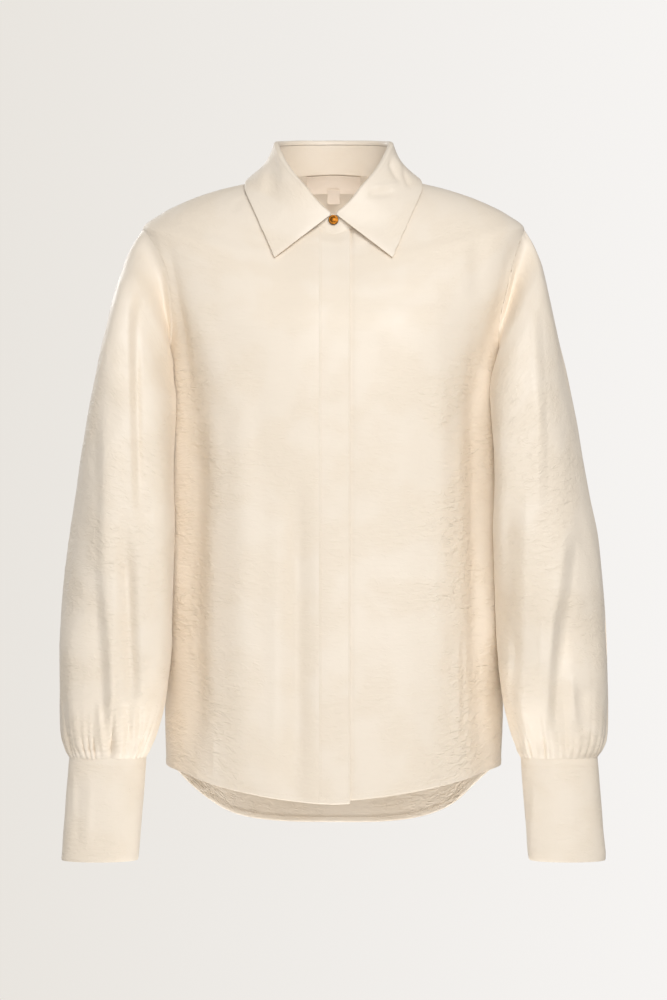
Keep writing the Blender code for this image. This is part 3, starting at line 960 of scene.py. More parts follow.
@dataclass
class Body:
    """Two fronts, the strip that conceals the buttons, and the back.

    Attributes:
        wall: Thickness of the cloth.
        seam_gap: Space left between two pieces sewn together.
        lap: How far the strip stands out over the front beneath it.
        lap_ease: Width over which the right front rises to that.
        placket_seam: x of the strip's seam, which is also its row of stitching.
        placket_edge: x of the strip's free edge.
        underlap: x of the left front's hidden edge.
        seam_groove: Depth of the groove along the strip's seam.
        edge_drop: How far the strip's free edge rolls down.
        edge_groove: Depth to which the cloth beneath gives way beside that edge.
        groove_aside: How far beside the edge it is deepest.
        groove_width: How wide it is.
        line_width: Width of the seam's groove and of the edge's roll.
        left_hem_rise: How much higher the left front's hem is at the middle, under the strip.
        hem_turn: Width of the narrow turned hem.
        hem_step: Width of the step at its top.
        hem_proud: How far it stands out and in.
        hem_groove: Depth of the groove along its stitches.
        hem_edge: How far its edge is rounded off.
        stitch_inset: How far below the hem's top its stitches lie.
        pucker_cell: Spacing of the puckers along an armhole.
        pucker_depth: Their height.
        strip_step: Spacing of the strip's columns.
        faces: Each panel's outer and inner grid, once it is built.
    """

    form: BodyForm
    armholes: dict[Side, Armhole]
    finish: bpy.types.Material
    wall: float = 1.0
    seam_gap: float = 0.03
    lap: float = 1.6
    lap_ease: float = 60.0
    placket_seam: float = -14.7
    placket_edge: float = 16.8
    underlap: float = -13.0
    seam_groove: float = 0.3
    edge_drop: float = 0.8
    edge_groove: float = 1.6
    groove_aside: float = 1.1
    groove_width: float = 1.5
    line_width: float = 0.9
    left_hem_rise: float = 3.0
    hem_turn: float = 6.5
    hem_step: float = 1.2
    hem_proud: tuple[float, float] = (0.35, 0.55)
    hem_groove: float = 0.3
    hem_edge: float = 0.45
    stitch_inset: float = 0.8
    pucker_cell: float = 7.0
    pucker_depth: float = 0.7
    hem_rows: int = 14
    low_rows: int = 168
    arm_rows: int = 64
    yoke_rows: int = 44
    front_columns: int = 92
    back_columns: int = 160
    strip_step: float = 1.3
    faces: dict[str, tuple[Grid, Grid]] = field(default_factory=dict)

    def row_heights(self, share: Grid) -> Grid:
        """Gives the side heights of a panel's rows, hem to neck.

        Rows are close together over the hem. Along the armhole they are even at the panel's
        middle and bunch at its side towards the ends of the hole, as (1 - cos)/2, blended by the
        square of the share of the way to the side.

        Args:
            share: Each column's share of the way from the middle to the side.

        Returns:
            Rows of columns of heights.
        """
        form = self.form
        turned = form.hem + np.arange(self.hem_rows)
        low = np.linspace(form.hem + self.hem_rows, form.armhole_low, self.low_rows)
        even = np.linspace(0.0, 1.0, self.arm_rows + 1)[1:, None]
        bunched = (1 - np.cos(math.pi * even)) / 2
        arm = even + (bunched - even) * share**2
        high = np.linspace(form.armhole_top, form.neck, self.yoke_rows + 1)[1:, None] + 0 * share
        return np.concatenate(
            (
                np.concatenate((turned, low))[:, None] + 0 * share,
                form.armhole_low + (form.armhole_top - form.armhole_low) * arm, high,
            )
        )

    def panel_grid(
        self, side: Side, before: bool, start: Grid | float, columns: int
    ) -> tuple[Grid, Grid]:
        """Gives (angle, height) of a panel's points at +X, from its inner edge out to its side.

        Columns are even in the ring's polar angle. The armhole's cut is shared out over them by
        the square of their share of the way, so the inner ones stay upright.
        """
        share = np.linspace(0.0, 1.0, columns + 1)[None, :]
        height = self.row_heights(share)
        turn = math.pi * np.linspace(1.0, 0.0, self.arm_rows + 1)
        arm = self.armholes[side].cut(turn, before)
        below, above = np.zeros(self.hem_rows + self.low_rows - 1), np.zeros(self.yoke_rows)
        cut = np.concatenate((below, arm, above))[:, None]
        form = self.form
        end = QUARTER - (self.seam_gap / 2) / form.rings.at(height)["half"]
        whole = form.polar(end, height)
        lost = whole - form.polar(end - cut, height)
        first = form.polar(start, height[:, :1]) if np.ndim(start) else start
        return form.from_polar(first + (whole - first) * share - lost * share**2, height), height

    def strip_grid(self, start: float, end: float) -> tuple[Grid, Grid]:
        """Gives (angle, height) of an upright strip down the front from one x to another."""
        count = max(2, round((end - start) / self.strip_step) + 1)
        x = np.linspace(start, end, count)[None, :]
        height = self.row_heights(0 * x)
        return self.form.angle_at(x, height), height

    def lap_lift(self, x: Grid) -> Grid:
        """Gives how far the overlapping front stands out, rising towards centre front."""
        return self.lap * ease((x + self.lap_ease) / (self.lap_ease + self.placket_seam))

    def hem_lifts(self, points: Grid) -> tuple[Grid, ...]:
        """Gives how far the turned hem stands out and in: a step, with a groove at its stitches."""
        above = above_hem(points)
        turned = 1 - ease((above - self.hem_turn) / self.hem_step)
        groove = self.hem_groove * bell(above - self.hem_turn + 0.4, 0.7)
        edge = self.hem_edge * bell(above, 0.8)
        return tuple(proud * turned - groove - edge for proud in self.hem_proud)

    def puckers(self, points: Grid, height: Grid) -> Grid:
        """Gives the small puckers that the armhole's seam draws in beside it.

        Each is noise along the seam, nothing at the seam itself and dying away a few millimetres
        from it.
        """
        run = run_length(points, 1)
        # The fronts' inner edges, within 100 mm of the middle, are no armhole and take none.
        away = np.minimum(run, run[:, -1:] - run) + 60.0 * (np.abs(points[..., 0]) < 100.0)
        form = self.form
        within = ease((height - form.armhole_low) / 12.0) * ease((form.armhole_top - height) / 10.0)
        noise = cloudy(points, (300.0, 300.0, self.pucker_cell), 6.6)
        reach = 9.0 + 4.0 * cloudy(points, (300.0, 300.0, 23.0), 2.2)
        return self.pucker_depth * noise * ease(away / 2.5) * bell(away, reach) * within

    def panel(
        self, name: str, grid: tuple[Grid, Grid], lift: Grid | float = 0.0,
        origin: tuple[float, float] = (0.0, 0.0), anchor: int | None = None,
    ) -> bpy.types.Object:
        """Makes a panel: both faces of its cloth lie along the form's normals.

        Args:
            name: The piece's name, that of its solid.
            grid: Angle and height of its points.
            lift: How far it stands out from the body's surface.
            origin: Where its cloth lies on the map.
            anchor: The column from which its cloth is laid.

        Returns:
            The object.
        """
        angle, height = grid
        points = self.form.point(angle, height)
        proud, thick = self.hem_lifts(points)
        lift = lift + self.puckers(points, height)
        outer = self.form.surface(angle, height, lift + proud)
        inner = self.form.surface(angle, height, lift - self.wall - thick)
        self.faces[name] = (outer, inner)
        return cloth_shell(name + "_cloth", outer, inner, self.finish, False, origin, anchor)

    def front_left(self) -> bpy.types.Object:
        """Builds the wearer's left front, which runs on under the strip."""
        strip = self.strip_grid(self.underlap, self.placket_edge)
        rest = self.panel_grid(Side.LEFT, True, strip[0][:, -1:], self.front_columns)
        angle, height = (np.concatenate((a, b[:, 1:]), axis=1) for a, b in zip(strip, rest))
        fade = np.linspace(1.0, 0.0, self.hem_rows)[:, None]
        height[: self.hem_rows] += self.left_hem_rise * np.cos(angle[: self.hem_rows]) * fade
        x = self.form.point(angle, height)[..., 0]
        aside = x - self.placket_edge - self.groove_aside
        lift = -self.edge_groove * bell(aside, self.groove_width)
        return self.panel("front_left", (angle, height), lift, origin=(0.3, 0.0), anchor=0)

    def front_right(self) -> bpy.types.Object:
        """Builds the wearer's right front, up to the seam of the strip."""
        seam = -self.placket_seam + self.seam_gap / 2
        height = self.row_heights(np.zeros((1, 1)))
        start = self.form.angle_at(seam, height)
        angle, height = self.panel_grid(Side.RIGHT, True, start, self.front_columns)
        angle, height = -angle[:, ::-1], height[:, ::-1]
        x = self.form.point(angle, height)[..., 0]
        groove = self.seam_groove * bell(x - self.placket_seam, self.line_width)
        lift = self.lap_lift(x) - groove
        return self.panel("front_right", (angle, height), lift, anchor=-1)

    def placket(self) -> bpy.types.Object:
        """Builds the strip that conceals the buttons, its long edges rounded."""
        start = self.placket_seam + self.seam_gap / 2
        angle, height = self.strip_grid(start, self.placket_edge)
        x = self.form.point(angle, height)[..., 0]
        lift = self.lap - self.seam_groove * bell(x - start, self.line_width)
        lift = lift - self.edge_drop * bell(x - self.placket_edge, self.line_width)
        return self.panel("fly_placket", (angle, height), lift, origin=(0.15, 0.0), anchor=0)

    def back(self) -> bpy.types.Object:
        """Builds the back, from one side seam round to the other."""
        half = self.back_columns // 2
        left = self.panel_grid(Side.LEFT, False, 0.0, half)
        right = self.panel_grid(Side.RIGHT, False, 0.0, half)
        angle = math.pi + np.concatenate((-left[0][:, :0:-1], right[0]), axis=1)
        height = np.concatenate((left[1][:, :0:-1], right[1]), axis=1)
        return self.panel("back", (angle, height), origin=(0.7, 0.0))

    def build(self) -> list[bpy.types.Object]:
        """Builds the panels and gives them with their solids replaced."""
        made = [self.front_right(), self.front_left(), self.placket(), self.back()]
        cuts = {
            "front_right": ((0.27, 0.70), 0.150), "front_left": ((0.30, 0.70), 0.165),
            "fly_placket": ((0.034, 0.63), None), "back": ((0.52, 0.75), 0.345),
        }
        for piece, (node, (flat, area)) in zip(made, cuts.items()):
            dress(piece, "viscose_satin", node)
        return made

    def stitches(self, stitching: Stitching) -> list[bpy.types.Object]:
        """Lays the strip's row of stitches, and the hem's, which shows inside the back too."""
        made = []
        above = self.hem_turn - self.stitch_inset
        for name, (outer, inner) in self.faces.items():
            normals = grid_normals(outer, False)
            made.append(stitching.row(name + "_hem_stitches", *hem_line(outer, normals, above)))
            if name == "back":
                line = hem_line(inner, -normals, above)
                made.append(stitching.row("back_hem_inner_stitches", *line))
            if name == "fly_placket":
                line = outer[6:-2, 2], normals[6:-2, 2]
                made.append(stitching.row("fly_placket_stitches", *line))
        return made


def above_hem(points: Grid) -> Grid:
    """Gives how far a panel's points are from its lowest row, measured square to that row."""
    slope = unit(np.gradient(points[0], axis=0))[:, 2]
    return run_length(points, 0) * np.sqrt(1 - slope**2)


def hem_line(points: Grid, facing: Grid, above: float) -> tuple[Grid, Grid]:
    """Finds the line on a panel that runs at a distance from its lowest row.

    Args:
        points: The panel's rows, lowest first.
        facing: Normals at its points.
        above: The distance.

    Returns:
        The line's points and normals, one for each column.
    """
    far = above_hem(points)
    row = (far < above).sum(axis=0)[None, :]
    low, high = (np.take_along_axis(far, row - n, 0)[..., None] for n in (1, 0))
    share = (above - low) / (high - low)
    line = [
        np.take_along_axis(grid, row[..., None] - 1, 0) * (1 - share)
        + np.take_along_axis(grid, row[..., None], 0) * share
        for grid in (points, facing)
    ]
    return line[0][0], unit(line[1][0])


def dress(piece: bpy.types.Object, slot: str, *nodes: str) -> None:
    """Rides a piece on the one body and hides the solids it stands for."""
    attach(piece, "root")
    if nodes:
        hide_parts(*nodes)


# --- Sleeves and cuffs ------------------------------------------------------------------------


@dataclass(frozen=True)
class SleeveShape:
    """What one sleeve and its cuff have that the other's don't, all as seen on their own side.

    Attributes:
        seed: Picks the sleeve's noise.
        square: How square the outer and the inner half of each ring are: 2 is an ellipse.
        folds: Its folds round the ring.
        creases: The main lines on its front.
        cuff_creases: The lines on its cuff's front.
    """

    seed: float
    square: CurveTable
    folds: tuple[Fold, ...]
    creases: tuple[Crease, ...]
    cuff_creases: tuple[Crease, ...]


SLEEVE_SHAPES: dict[Side, SleeveShape] = {
    Side.LEFT: SleeveShape(
        1.3,
        CurveTable(
            "station outer inner",
            (
                (0, 2.0, 2.0), (20, 2.0, 2.6), (45, 1.9, 3.6), (98, 1.7, 4.4),
                (145, 1.5, 4.8), (250, 1.5, 4.8), (290, 1.7, 3.6), (318, 2.0, 2.7),
                (346, 2.1, 1.9), (388, 2.3, 2.0), (430, 2.5, 2.6), (516, 2.2, 2.2),
            ),
        ),
        (Fold(0, 34, -4, 0, 300), Fold(215, 24, -6, 120, 500), Fold(290, 22, -5, 160, 480)),
        creased(
            (213, -390, 209, -95, 6, -5, 0, STEP), (186, -230, 206, -40, 11, -8, 0, STEP),
            (222, -520, 243, -345, 8, -12, 0, STEP), (218, -585, 227, -415, 6, -10, 0, STEP),
            (186, -310, 183, -500, 10, -16, 0, STEP), (187, -430, 179, -590, 5, -5),
            (181, -495, 199, -594, 3, 3.5), (183, -490, 196, -610, 6, -7, 0, STEP),
            (251, -515, 254, -575, 8, -4), (241, -505, 246, -560, 3, 2),
            (209, -440, 208, -535, 3, 0.9), (201.5, -72, 199.5, -94, 2.5, -1.5),
        ),
        creased((198, -606, 199, -690, 3, -0.8), (204, -612, 206, -670, 3, 0.5)),
    ),
    Side.RIGHT: SleeveShape(
        4.2,
        CurveTable(
            "station outer inner",
            (
                (0, 2.0, 2.0), (60, 3.0, 2.6), (100, 3.2, 2.8), (150, 2.4, 3.0),
                (200, 2.0, 3.2), (290, 1.7, 3.4), (350, 2.0, 3.4), (410, 3.0, 3.4),
                (450, 3.0, 3.0), (516, 2.2, 2.2),
            ),
        ),
        (Fold(225, 22, -6, 140, 520), Fold(300, 24, -5, 120, 460)),
        creased(
            (207, -74, 199, -370, 4.5, -9, 0, STEP), (203, -120, 197, -340, 4, -2),
            (182, -150, 163, -325, 12, -8, 0, STEP), (211, -352, 202, -560, 7.5, -8),
            (190, -315, 187, -405, 7, -1.8), (181, -385, 178, -460, 5, -1.5),
            (230, -220, 235, -430, 15, 4.5), (235, -450, 238, -220, 6, -4, 0, STEP),
            (221, -630, 238, -380, 7, -10, 0, STEP), (238, -530, 236, -590, 3, 2.5),
            (209, -530, 207, -590, 4, -3.5), (196, -530, 198, -590, 3, -3),
        ),
        creased(
            (248, -604, 250, -695, 4, 0.9), (258, -606, 262, -690, 3, -0.7),
            (265, -604, 266, -660, 2.5, 0.5),
        ),
    ),
}


@dataclass
class Sleeve:
    """A full sleeve, hung from its armhole and gathered into its cuff.

    It is built at +X. A ring turns from the outside over the front to the inside, and a station
    is the length run down from the armhole. The right one is mirrored at the end.

    Attributes:
        rings: The sleeve's ring at each station: its outer and inner end, middle and depth.
        back_creases: The lines on its back, the same on both sleeves.
        ease_in: Length over which the sleeve leaves the armhole's own curve.
        head_reach: Length over which its head runs on in the body's own direction.
        body_clear: Least distance from the body.
        fold_fade: Length over which a fold ends.
        seam_inset: How far the sleeve stays inside the armhole's edge.
        gather_count: How many gathers stand round the cuff.
        gather_depth: How far a gather stands out.
        pucker_count: How many puckers lie round the armhole.
        pucker_depth: Their height.
        swells: The cloth's slow unevenness.
        crests: Its short crests, which lie where their noise crosses its middle.
        patches: Where the crests are strong.
    """

    armhole: Armhole
    finish: bpy.types.Material
    shape: SleeveShape
    rings: CurveTable = CurveTable(
        "station outer_x outer_z inner_x inner_z centre_y half_depth",
        (
            (0, 200, -46, 176, -198, 0, 53), (14, 208, -60, 172, -199, -10, 55),
            (34, 217, -82, 163, -205, -24, 57), (62, 226, -114, 161, -217, -39, 59),
            (98, 236, -160, 162, -238, -51, 61), (145, 247, -212, 164, -268, -58, 62),
            (200, 258, -270, 165, -306, -60, 62), (262, 268, -338, 164, -358, -61, 63),
            (330, 277.5, -412, 165, -418, -62, 65), (400, 281.5, -482, 167, -482, -63, 66),
            (450, 281, -532, 173, -530, -64, 60), (484, 279, -565, 181.5, -563, -65, 46),
            (503, 275.5, -582, 188, -581, -66, 36), (516, 271.2, -593.9, 192.8, -593.9, -65, 29.2),
        ),
    )
    back_creases: tuple[Crease, ...] = creased(
        (205, -110, 224, -390, 9, -4), (228, -150, 241, -520, 9, 2.5),
        (188, -300, 200, -560, 8, -4), (206, -430, 216, -580, 5, 3),
        (250, -440, 248, -575, 6, -3.5),
    )
    swells: tuple[Swell, ...] = (Swell(1.2, (30, 30, 150), 2.3), Swell(0.5, (15, 15, 40), 4.9))
    crests: Swell = Swell(0.3, (17, 17, 13), 6.1)
    patches: Swell = Swell(1.6, (44, 44, 60), 7.7)
    wall: float = 1.0
    columns: int = 220
    rows: int = 200
    ease_in: float = 60.0
    head_reach: float = 38.0
    body_clear: float = 0.9
    fold_fade: float = 90.0
    seam_inset: float = 0.1
    gather_count: int = 32
    gather_depth: float = 5.2
    pucker_count: int = 46
    pucker_depth: float = 0.8

    @property
    def last(self) -> float:
        """The station of the cuff seam."""
        return self.rings.rows[-1][0]

    def ring_points(self, turn: Grid, station: Grid) -> Grid:
        """Gives points of a plain ring: two half superellipses between its inner and outer ends.

        A point at a turn is (cos, sin) over (|cos|^n + |sin|^n)^(1/n), with n the squareness.
        """
        ring, square = self.rings.at(station), self.shape.square.at(station)
        n = np.where(np.cos(turn) < 0, square["inner"], square["outer"])
        reach = (np.abs(np.cos(turn)) ** n + np.abs(np.sin(turn)) ** n) ** (-1 / n)
        across = (1 + reach * np.cos(turn)) / 2
        return np.stack(
            (
                ring["inner_x"] + (ring["outer_x"] - ring["inner_x"]) * across,
                ring["centre_y"] - ring["half_depth"] * reach * np.sin(turn),
                ring["inner_z"] + (ring["outer_z"] - ring["inner_z"]) * across,
            ),
            axis=-1,
        )

    def gathers(self, turn: Grid, station: Grid) -> Grid:
        """Gives the gathers above the cuff and the puckers below the armhole.

        Round the ring both are noise with so many values. A gather dies away up the sleeve over a
        length of its own, and is held down where it is sewn into the cuff.
        """
        up, seed = self.last - station, self.shape.seed
        length = 17.0 + 15.0 * (1 + ring_noise(turn, 23, seed)) ** 1.4
        drift = 2.4 * ring_noise(turn, 13, seed + 1) + 0.6 * ring_noise(turn, 31, seed + 5)
        shape = np.abs(np.sin(self.gather_count * turn / 2 + drift)) ** 0.7 - 0.55
        size = 0.65 + 0.5 * ring_noise(turn, 41, seed + 6)
        gather = self.gather_depth * size * shape * np.exp(-((up / length) ** 1.3))
        slow = 3.4 * ring_noise(turn, 21, seed + 2) * np.exp(-((up / (2.4 * length)) ** 2))
        gather = gather * (0.35 + 0.65 * ease(up / 8.0)) + slow * ease(up / 20.0)
        pucker = ring_noise(turn, self.pucker_count, seed + 3)
        reach = 7.0 + 5.0 * ring_noise(turn, 11, seed + 4)
        pucker = pucker * self.pucker_depth * bell(station - 3.0, reach) * ease(station / 2.0)
        return gather + pucker

    def relief(self, points: Grid, turn: Grid, station: Grid) -> Grid:
        """Adds up how far the cloth stands out: its folds, swells, crests and gathers."""
        up = self.last - station
        folds = folds_at(self.shape.folds, turn, station, self.fold_fade)
        folds = folds * ease(up / self.fold_fade)
        place = points + np.array((0.0, 0.0, 97.0 * self.shape.seed))
        crests = bell(cloudy(place, self.crests.cell, self.crests.seed), 0.3)
        crests = crests * ease(0.5 + swells_at([self.patches], place))
        swell = swells_at(self.swells, place) + self.crests.height * crests
        middle = ease(station / 40.0) * ease(up / 14.0)
        return folds + swell * middle + self.gathers(turn, station)

    def lines(self, points: Grid, station: Grid) -> Grid:
        """Adds up the creases, forwards: those of the front, less those of the back."""
        before = ease(0.5 - (points[..., 1] - self.rings.at(station)["centre_y"]) / 30.0)
        lines = creases_at(self.shape.creases, points, before)
        return lines - creases_at(self.back_creases, points, 1 - before)

    def surface(self) -> tuple[Grid, Grid]:
        """Gives the grid of the sleeve's outside at +X and the normals it was moved along.

        The rings are eased from the armhole's own curve to the table's, and at the front of the
        shoulder the head first runs on from the body in the body's own direction.
        """
        side = np.array((self.armhole.side.value, 1.0, 1.0))
        turn = full_turn(self.columns)
        share = np.linspace(0.0, 1.0, self.rows + 1)[:, None]
        station = self.last * (0.75 * share + 0.25 * ease(share))
        points = self.ring_points(turn, station + 0 * turn)
        normals = grid_normals(points, True)
        lines = self.lines(points, station)
        points = points + normals * self.relief(points, turn, station)[..., None]
        points[..., 1] -= lines * ease(station / 12.0) * ease((self.last - station) / 10.0)
        edge = self.armhole.edge(turn) * side
        centre = edge.mean(axis=-2, keepdims=True)
        edge = edge + unit(centre - edge) * self.seam_inset
        drift = edge - self.ring_points(turn, 0 * turn)
        freed = ease(station / self.ease_in)
        points = points + (1 - freed)[..., None] * drift
        head = ease(1.3 * np.sin(turn)) * ease(np.cos(turn) + 0.95)
        head = head * (1 - ease(station / self.head_reach))
        onward = edge + self.armhole.run_on(turn) * side * station[..., None]
        points = points + head[..., None] * (onward - points)
        form = self.armhole.form
        levels = (form.hem + 1, form.armhole_top)
        return form.clear(points, self.body_clear * freed, levels), normals

    def build(self) -> bpy.types.Object:
        """Builds the sleeve."""
        side = self.armhole.side
        outer, normals = self.surface()
        outer, inner = on_side(side, outer, outer - normals * self.wall)
        name, origin = f"sleeve_{side.word}", (1.4 + side.value * 0.3, 0.0)
        piece = cloth_shell(name + "_cloth", outer, inner, self.finish, True, origin)
        dress(piece, "viscose_satin", name)
        return piece


@dataclass
class Cuff:
    """A deep doubled cuff, closed round the wrist.

    Attributes:
        top: Height of its seam with the sleeve.
        bottom: Height of its free edge.
        middle_top: x and y of its middle at the seam, at +X.
        middle_bottom: The same at its free edge.
        half: Half its width and half its depth.
        square: How square its ring is.
        stitch_drop: How far below the seam its stitches lie.
        line_width: Width of the stitches' groove and of the free edge's rounding.
        swells: The cloth's slow unevenness.
    """

    side: Side
    finish: bpy.types.Material
    creases: tuple[Crease, ...]
    top: float = -593.5
    bottom: float = -699.0
    middle_top: tuple[float, float] = (232.0, -65.0)
    middle_bottom: tuple[float, float] = (240.0, -70.0)
    half: tuple[float, float] = (39.5, 29.0)
    square: float = 2.2
    wall: float = 1.5
    stitch_drop: float = 8.75
    line_width: float = 0.9
    swells: tuple[Swell, ...] = (Swell(0.7, (20, 20, 60), 9.3), Swell(0.25, (9, 9, 22), 3.3))
    columns: int = 120
    rows: int = 60

    def surface(self) -> tuple[Grid, Grid]:
        """Gives the outside, a leaning tube of superellipses, and its inside, edges rounded."""
        turn = full_turn(self.columns)
        share = np.linspace(0.0, 1.0, self.rows + 1)[:, None]
        middle = [a + (b - a) * share for a, b in zip(self.middle_top, self.middle_bottom)]
        power, tall = 2.0 / self.square, self.top - self.bottom
        points = np.stack(
            (
                middle[0] + self.half[0] * signed_power(np.cos(turn), power),
                middle[1] - self.half[1] * signed_power(np.sin(turn), power),
                self.top - tall * share + 0 * turn,
            ),
            axis=-1,
        )
        normals = grid_normals(points, True)
        down = tall * share
        edge = bell(down - tall, self.line_width)
        groove = bell(down - self.stitch_drop, self.line_width)
        swell = swells_at(self.swells, points + np.array((0.0, 0.0, 31.0 * self.side.value)))
        before = ease(0.5 - (points[..., 1] - middle[1]) / 20.0)
        within = ease(down / 8.0) * ease((tall - down) / 8.0)
        out = (swell + creases_at(self.creases, points, before)) * within
        outer = points + normals * (out - 0.45 * edge - 0.15 * groove)[..., None]
        return outer, outer - normals * (self.wall - 0.8 * edge)[..., None]

    def stitches(self, stitching: Stitching) -> bpy.types.Object:
        """Lays the row of stitches below the cuff's seam."""
        outer, inner = self.surface()
        row = round(self.stitch_drop / (self.top - self.bottom) * self.rows)
        path, normals = outer[row], unit(outer[row] - inner[row])
        path, normals = (np.concatenate((line, line[:1])) for line in (path, normals))
        flip = np.array((self.side.value, 1.0, 1.0))
        return stitching.row(f"cuff_{self.side.word}_stitches", path * flip, normals * flip)

    def build(self) -> bpy.types.Object:
        """Builds the cuff."""
        outer, inner = on_side(self.side, *self.surface())
        name = f"cuff_{self.side.word}"
        piece = cloth_shell(name + "_cloth", outer, inner, self.finish, True, origin=(2.1, 0.0))
        dress(piece, "viscose_satin", name)
        return piece


# --- Collar -----------------------------------------------------------------------------------


@dataclass
class Collar:
    """A two-piece shirt collar: a stand round the neck and the leaf that rolls over it.

    Attributes:
        creases: The lines on the leaf's front.
        turns: Against the turn round the neck from centre front: the height of the roll, the angle
            and side height on the body where the leaf's edge lies, and how far the leaf hangs in.
        stand_half: Half the stand's width where the leaf rolls over it.
        stand_front, stand_back: Its depth there, in front and behind.
        stand_end, stand_under: x of its two ends, the one on top and the one beneath.
        stand_seam: Height of its lower edge over the body's neck line.
        stand_room: How much higher that edge is at its ends.
        lap: How far its upper end stands out over the lower one.
        roll_radius: Radius of the leaf's roll.
        roll_foot: Height of the roll's middle over the stand's top line.
        leaf_start: x of the leaf's ends on the stand.
        leaf_lift: How far its edge stands off the body.
        leaf_clear: Least distance of the rest from the body.
        edge_width: Width over which its edge is pressed thin.
        edge_round: How far each face is pressed in there.
        swells: The leaf's slow unevenness.
    """

    form: BodyForm
    finish: bpy.types.Material
    creases: tuple[Crease, ...] = creased(
        (54, 34, 71, -2, 3, -2.3, 2), (62, 30, 76, 6, 3, 1.5), (70, 20, 80, -8, 2.5, -1.9),
        (32, -15, 66, -12, 3.5, -2.2), (38, -8, 70, -2, 3, 1.2), (-63, 34, -61, -24, 9, -2.4, 3),
        (-76, 18, -74, -16, 5, 0.8),
    )
    turns: CurveTable = CurveTable(
        "turn roll_z edge_angle edge_height sag",
        (
            (0, -36, 15.7, -54.6, 0), (4, -33, 16.5, -48.0, 0.3), (9, -29, 18.1, -40.0, 0.6),
            (14, -24, 20.7, -32.4, 1), (21, -16, 24.0, -23.0, 1.5), (28, -7, 28.0, -16.0, 2),
            (42, 7, 37.4, -7.3, 3), (56, 21, 49.1, -2.7, 4), (72, 36, 65.6, 0.0, 5),
            (90, 46, 88, 2.4, 5), (120, 50, 119, 0, 4), (150, 53, 149, -4, 3),
            (180, 54, 180, -6, 3),
        ),
    )
    stand_half: float = 58.0
    stand_front: float = 68.0
    stand_back: float = 52.0
    stand_end: float = 16.8
    stand_under: float = -13.0
    stand_seam: float = -0.4
    stand_room: float = 0.3
    stand_wall: float = 1.2
    lap: float = 1.6
    lap_ease: float = math.radians(60.0)
    roll_radius: float = 3.2
    roll_foot: float = 2.0
    leaf_start: float = 3.0
    leaf_lift: float = 3.8
    leaf_clear: float = 3.5
    leaf_wall: float = 1.5
    edge_width: float = 0.9
    edge_round: float = 0.4
    swells: tuple[Swell, ...] = (Swell(0.5, (24, 24, 24), 2.7), Swell(0.2, (9, 9, 9), 4.4))
    columns: int = 190
    stand_rows: int = 16
    fall_rows: int = 40

    def turn_of(self, angle: Grid) -> Grid:
        """Gives the turn from centre front, 0 to 180 degrees, of an angle round the neck."""
        return np.degrees(np.abs((angle + math.pi) % (2 * math.pi) - math.pi))

    def outward(self, angle: Grid) -> Grid:
        """Gives the level direction away from the neck's middle."""
        return np.stack((np.sin(angle), -np.cos(angle), 0 * angle), axis=-1)

    def stand_top(self, angle: Grid) -> Grid:
        """Gives the stand's top line, an ellipse whose height follows the roll."""
        across, along = np.sin(angle), np.cos(angle)
        depth = np.where(along > 0, self.stand_front, self.stand_back)
        roll = self.turns.at(self.turn_of(angle))["roll_z"]
        return np.stack(
            (self.stand_half * across, -depth * along, roll - self.roll_radius - self.roll_foot),
            axis=-1,
        )

    def leaf_angles(self) -> Grid:
        """Gives the leaf's columns, from its right front round the neck to its left front."""
        start = math.asin(self.leaf_start / self.stand_half)
        return -np.linspace(start, 2 * math.pi - start, self.columns + 1)

    def stand(self) -> bpy.types.Object:
        """Builds the stand, a band from the neck seam to its top line, one end over the other."""
        over = math.asin(self.stand_end / self.stand_half)
        under = math.asin(-self.stand_under / self.stand_half)
        start = self.leaf_angles()[0]
        turn = -2 * math.pi
        first = np.linspace(over, start, 12)[:-1]
        last = np.linspace(turn - start, turn - under, 10)[1:]
        angle = np.concatenate((first, self.leaf_angles(), last))
        lift = self.lap * (1 - ease((over - angle) / self.lap_ease))
        bottom = self.form.surface(angle, self.form.neck, lift)
        bottom[..., 2] += self.stand_seam + self.stand_room * bell(bottom[..., 0], self.stand_end)
        top = self.stand_top(angle) + self.outward(angle) * lift[..., None]
        rise = np.linspace(0.0, 1.0, self.stand_rows + 1)[:, None, None]
        points = (bottom + (top - bottom) * rise)[:, ::-1]
        normals = grid_normals(points, False)
        edge = bell(rise[..., 0] * 12.0, 0.8)
        outer = points - normals * (0.1 * edge)[..., None]
        inner = points - normals * (self.stand_wall - 0.1 * edge)[..., None]
        piece = cloth_shell("collar_stand_cloth", outer, inner, self.finish, origin=(2.6, 0.0))
        dress(piece, "viscose_satin", "collar_stand")
        return piece

    def leaf_surface(self) -> Grid:
        """Gives the leaf's outside: up from the stand, over a round roll, and down to its edge.

        The fall is a straight line from the roll to the edge, hung in by its sag times the sine of
        its share, and kept clear of the shoulders.
        """
        angle = self.leaf_angles()
        row = self.turns.at(self.turn_of(angle))
        side = np.sign(np.sin(angle))
        out = self.outward(angle)
        foot = self.stand_top(angle) - out * 1.2 + UP * 0.3
        centre = foot + out * self.roll_radius + UP * (self.roll_foot - 0.3)
        roll = [
            centre + self.roll_radius * (-math.cos(a) * out + math.sin(a) * UP)
            for a in np.linspace(0.0, math.pi, 13)
        ]
        form = self.form
        turn = side * np.radians(row["edge_angle"])
        edge = form.surface(turn, row["edge_height"], self.leaf_lift)
        share = np.linspace(0.0, 1.0, self.fall_rows + 1)[1:, None]
        line = roll[-1] + (edge - roll[-1]) * share[..., None]
        line = line - out * (row["sag"] * np.sin(math.pi * share))[..., None]
        levels = (form.armhole_top - 40.0, form.neck - 0.5)
        fall = form.clear(line, self.leaf_clear * ease(share / 0.4), levels)
        return np.concatenate((foot[None], np.stack(roll), fall))

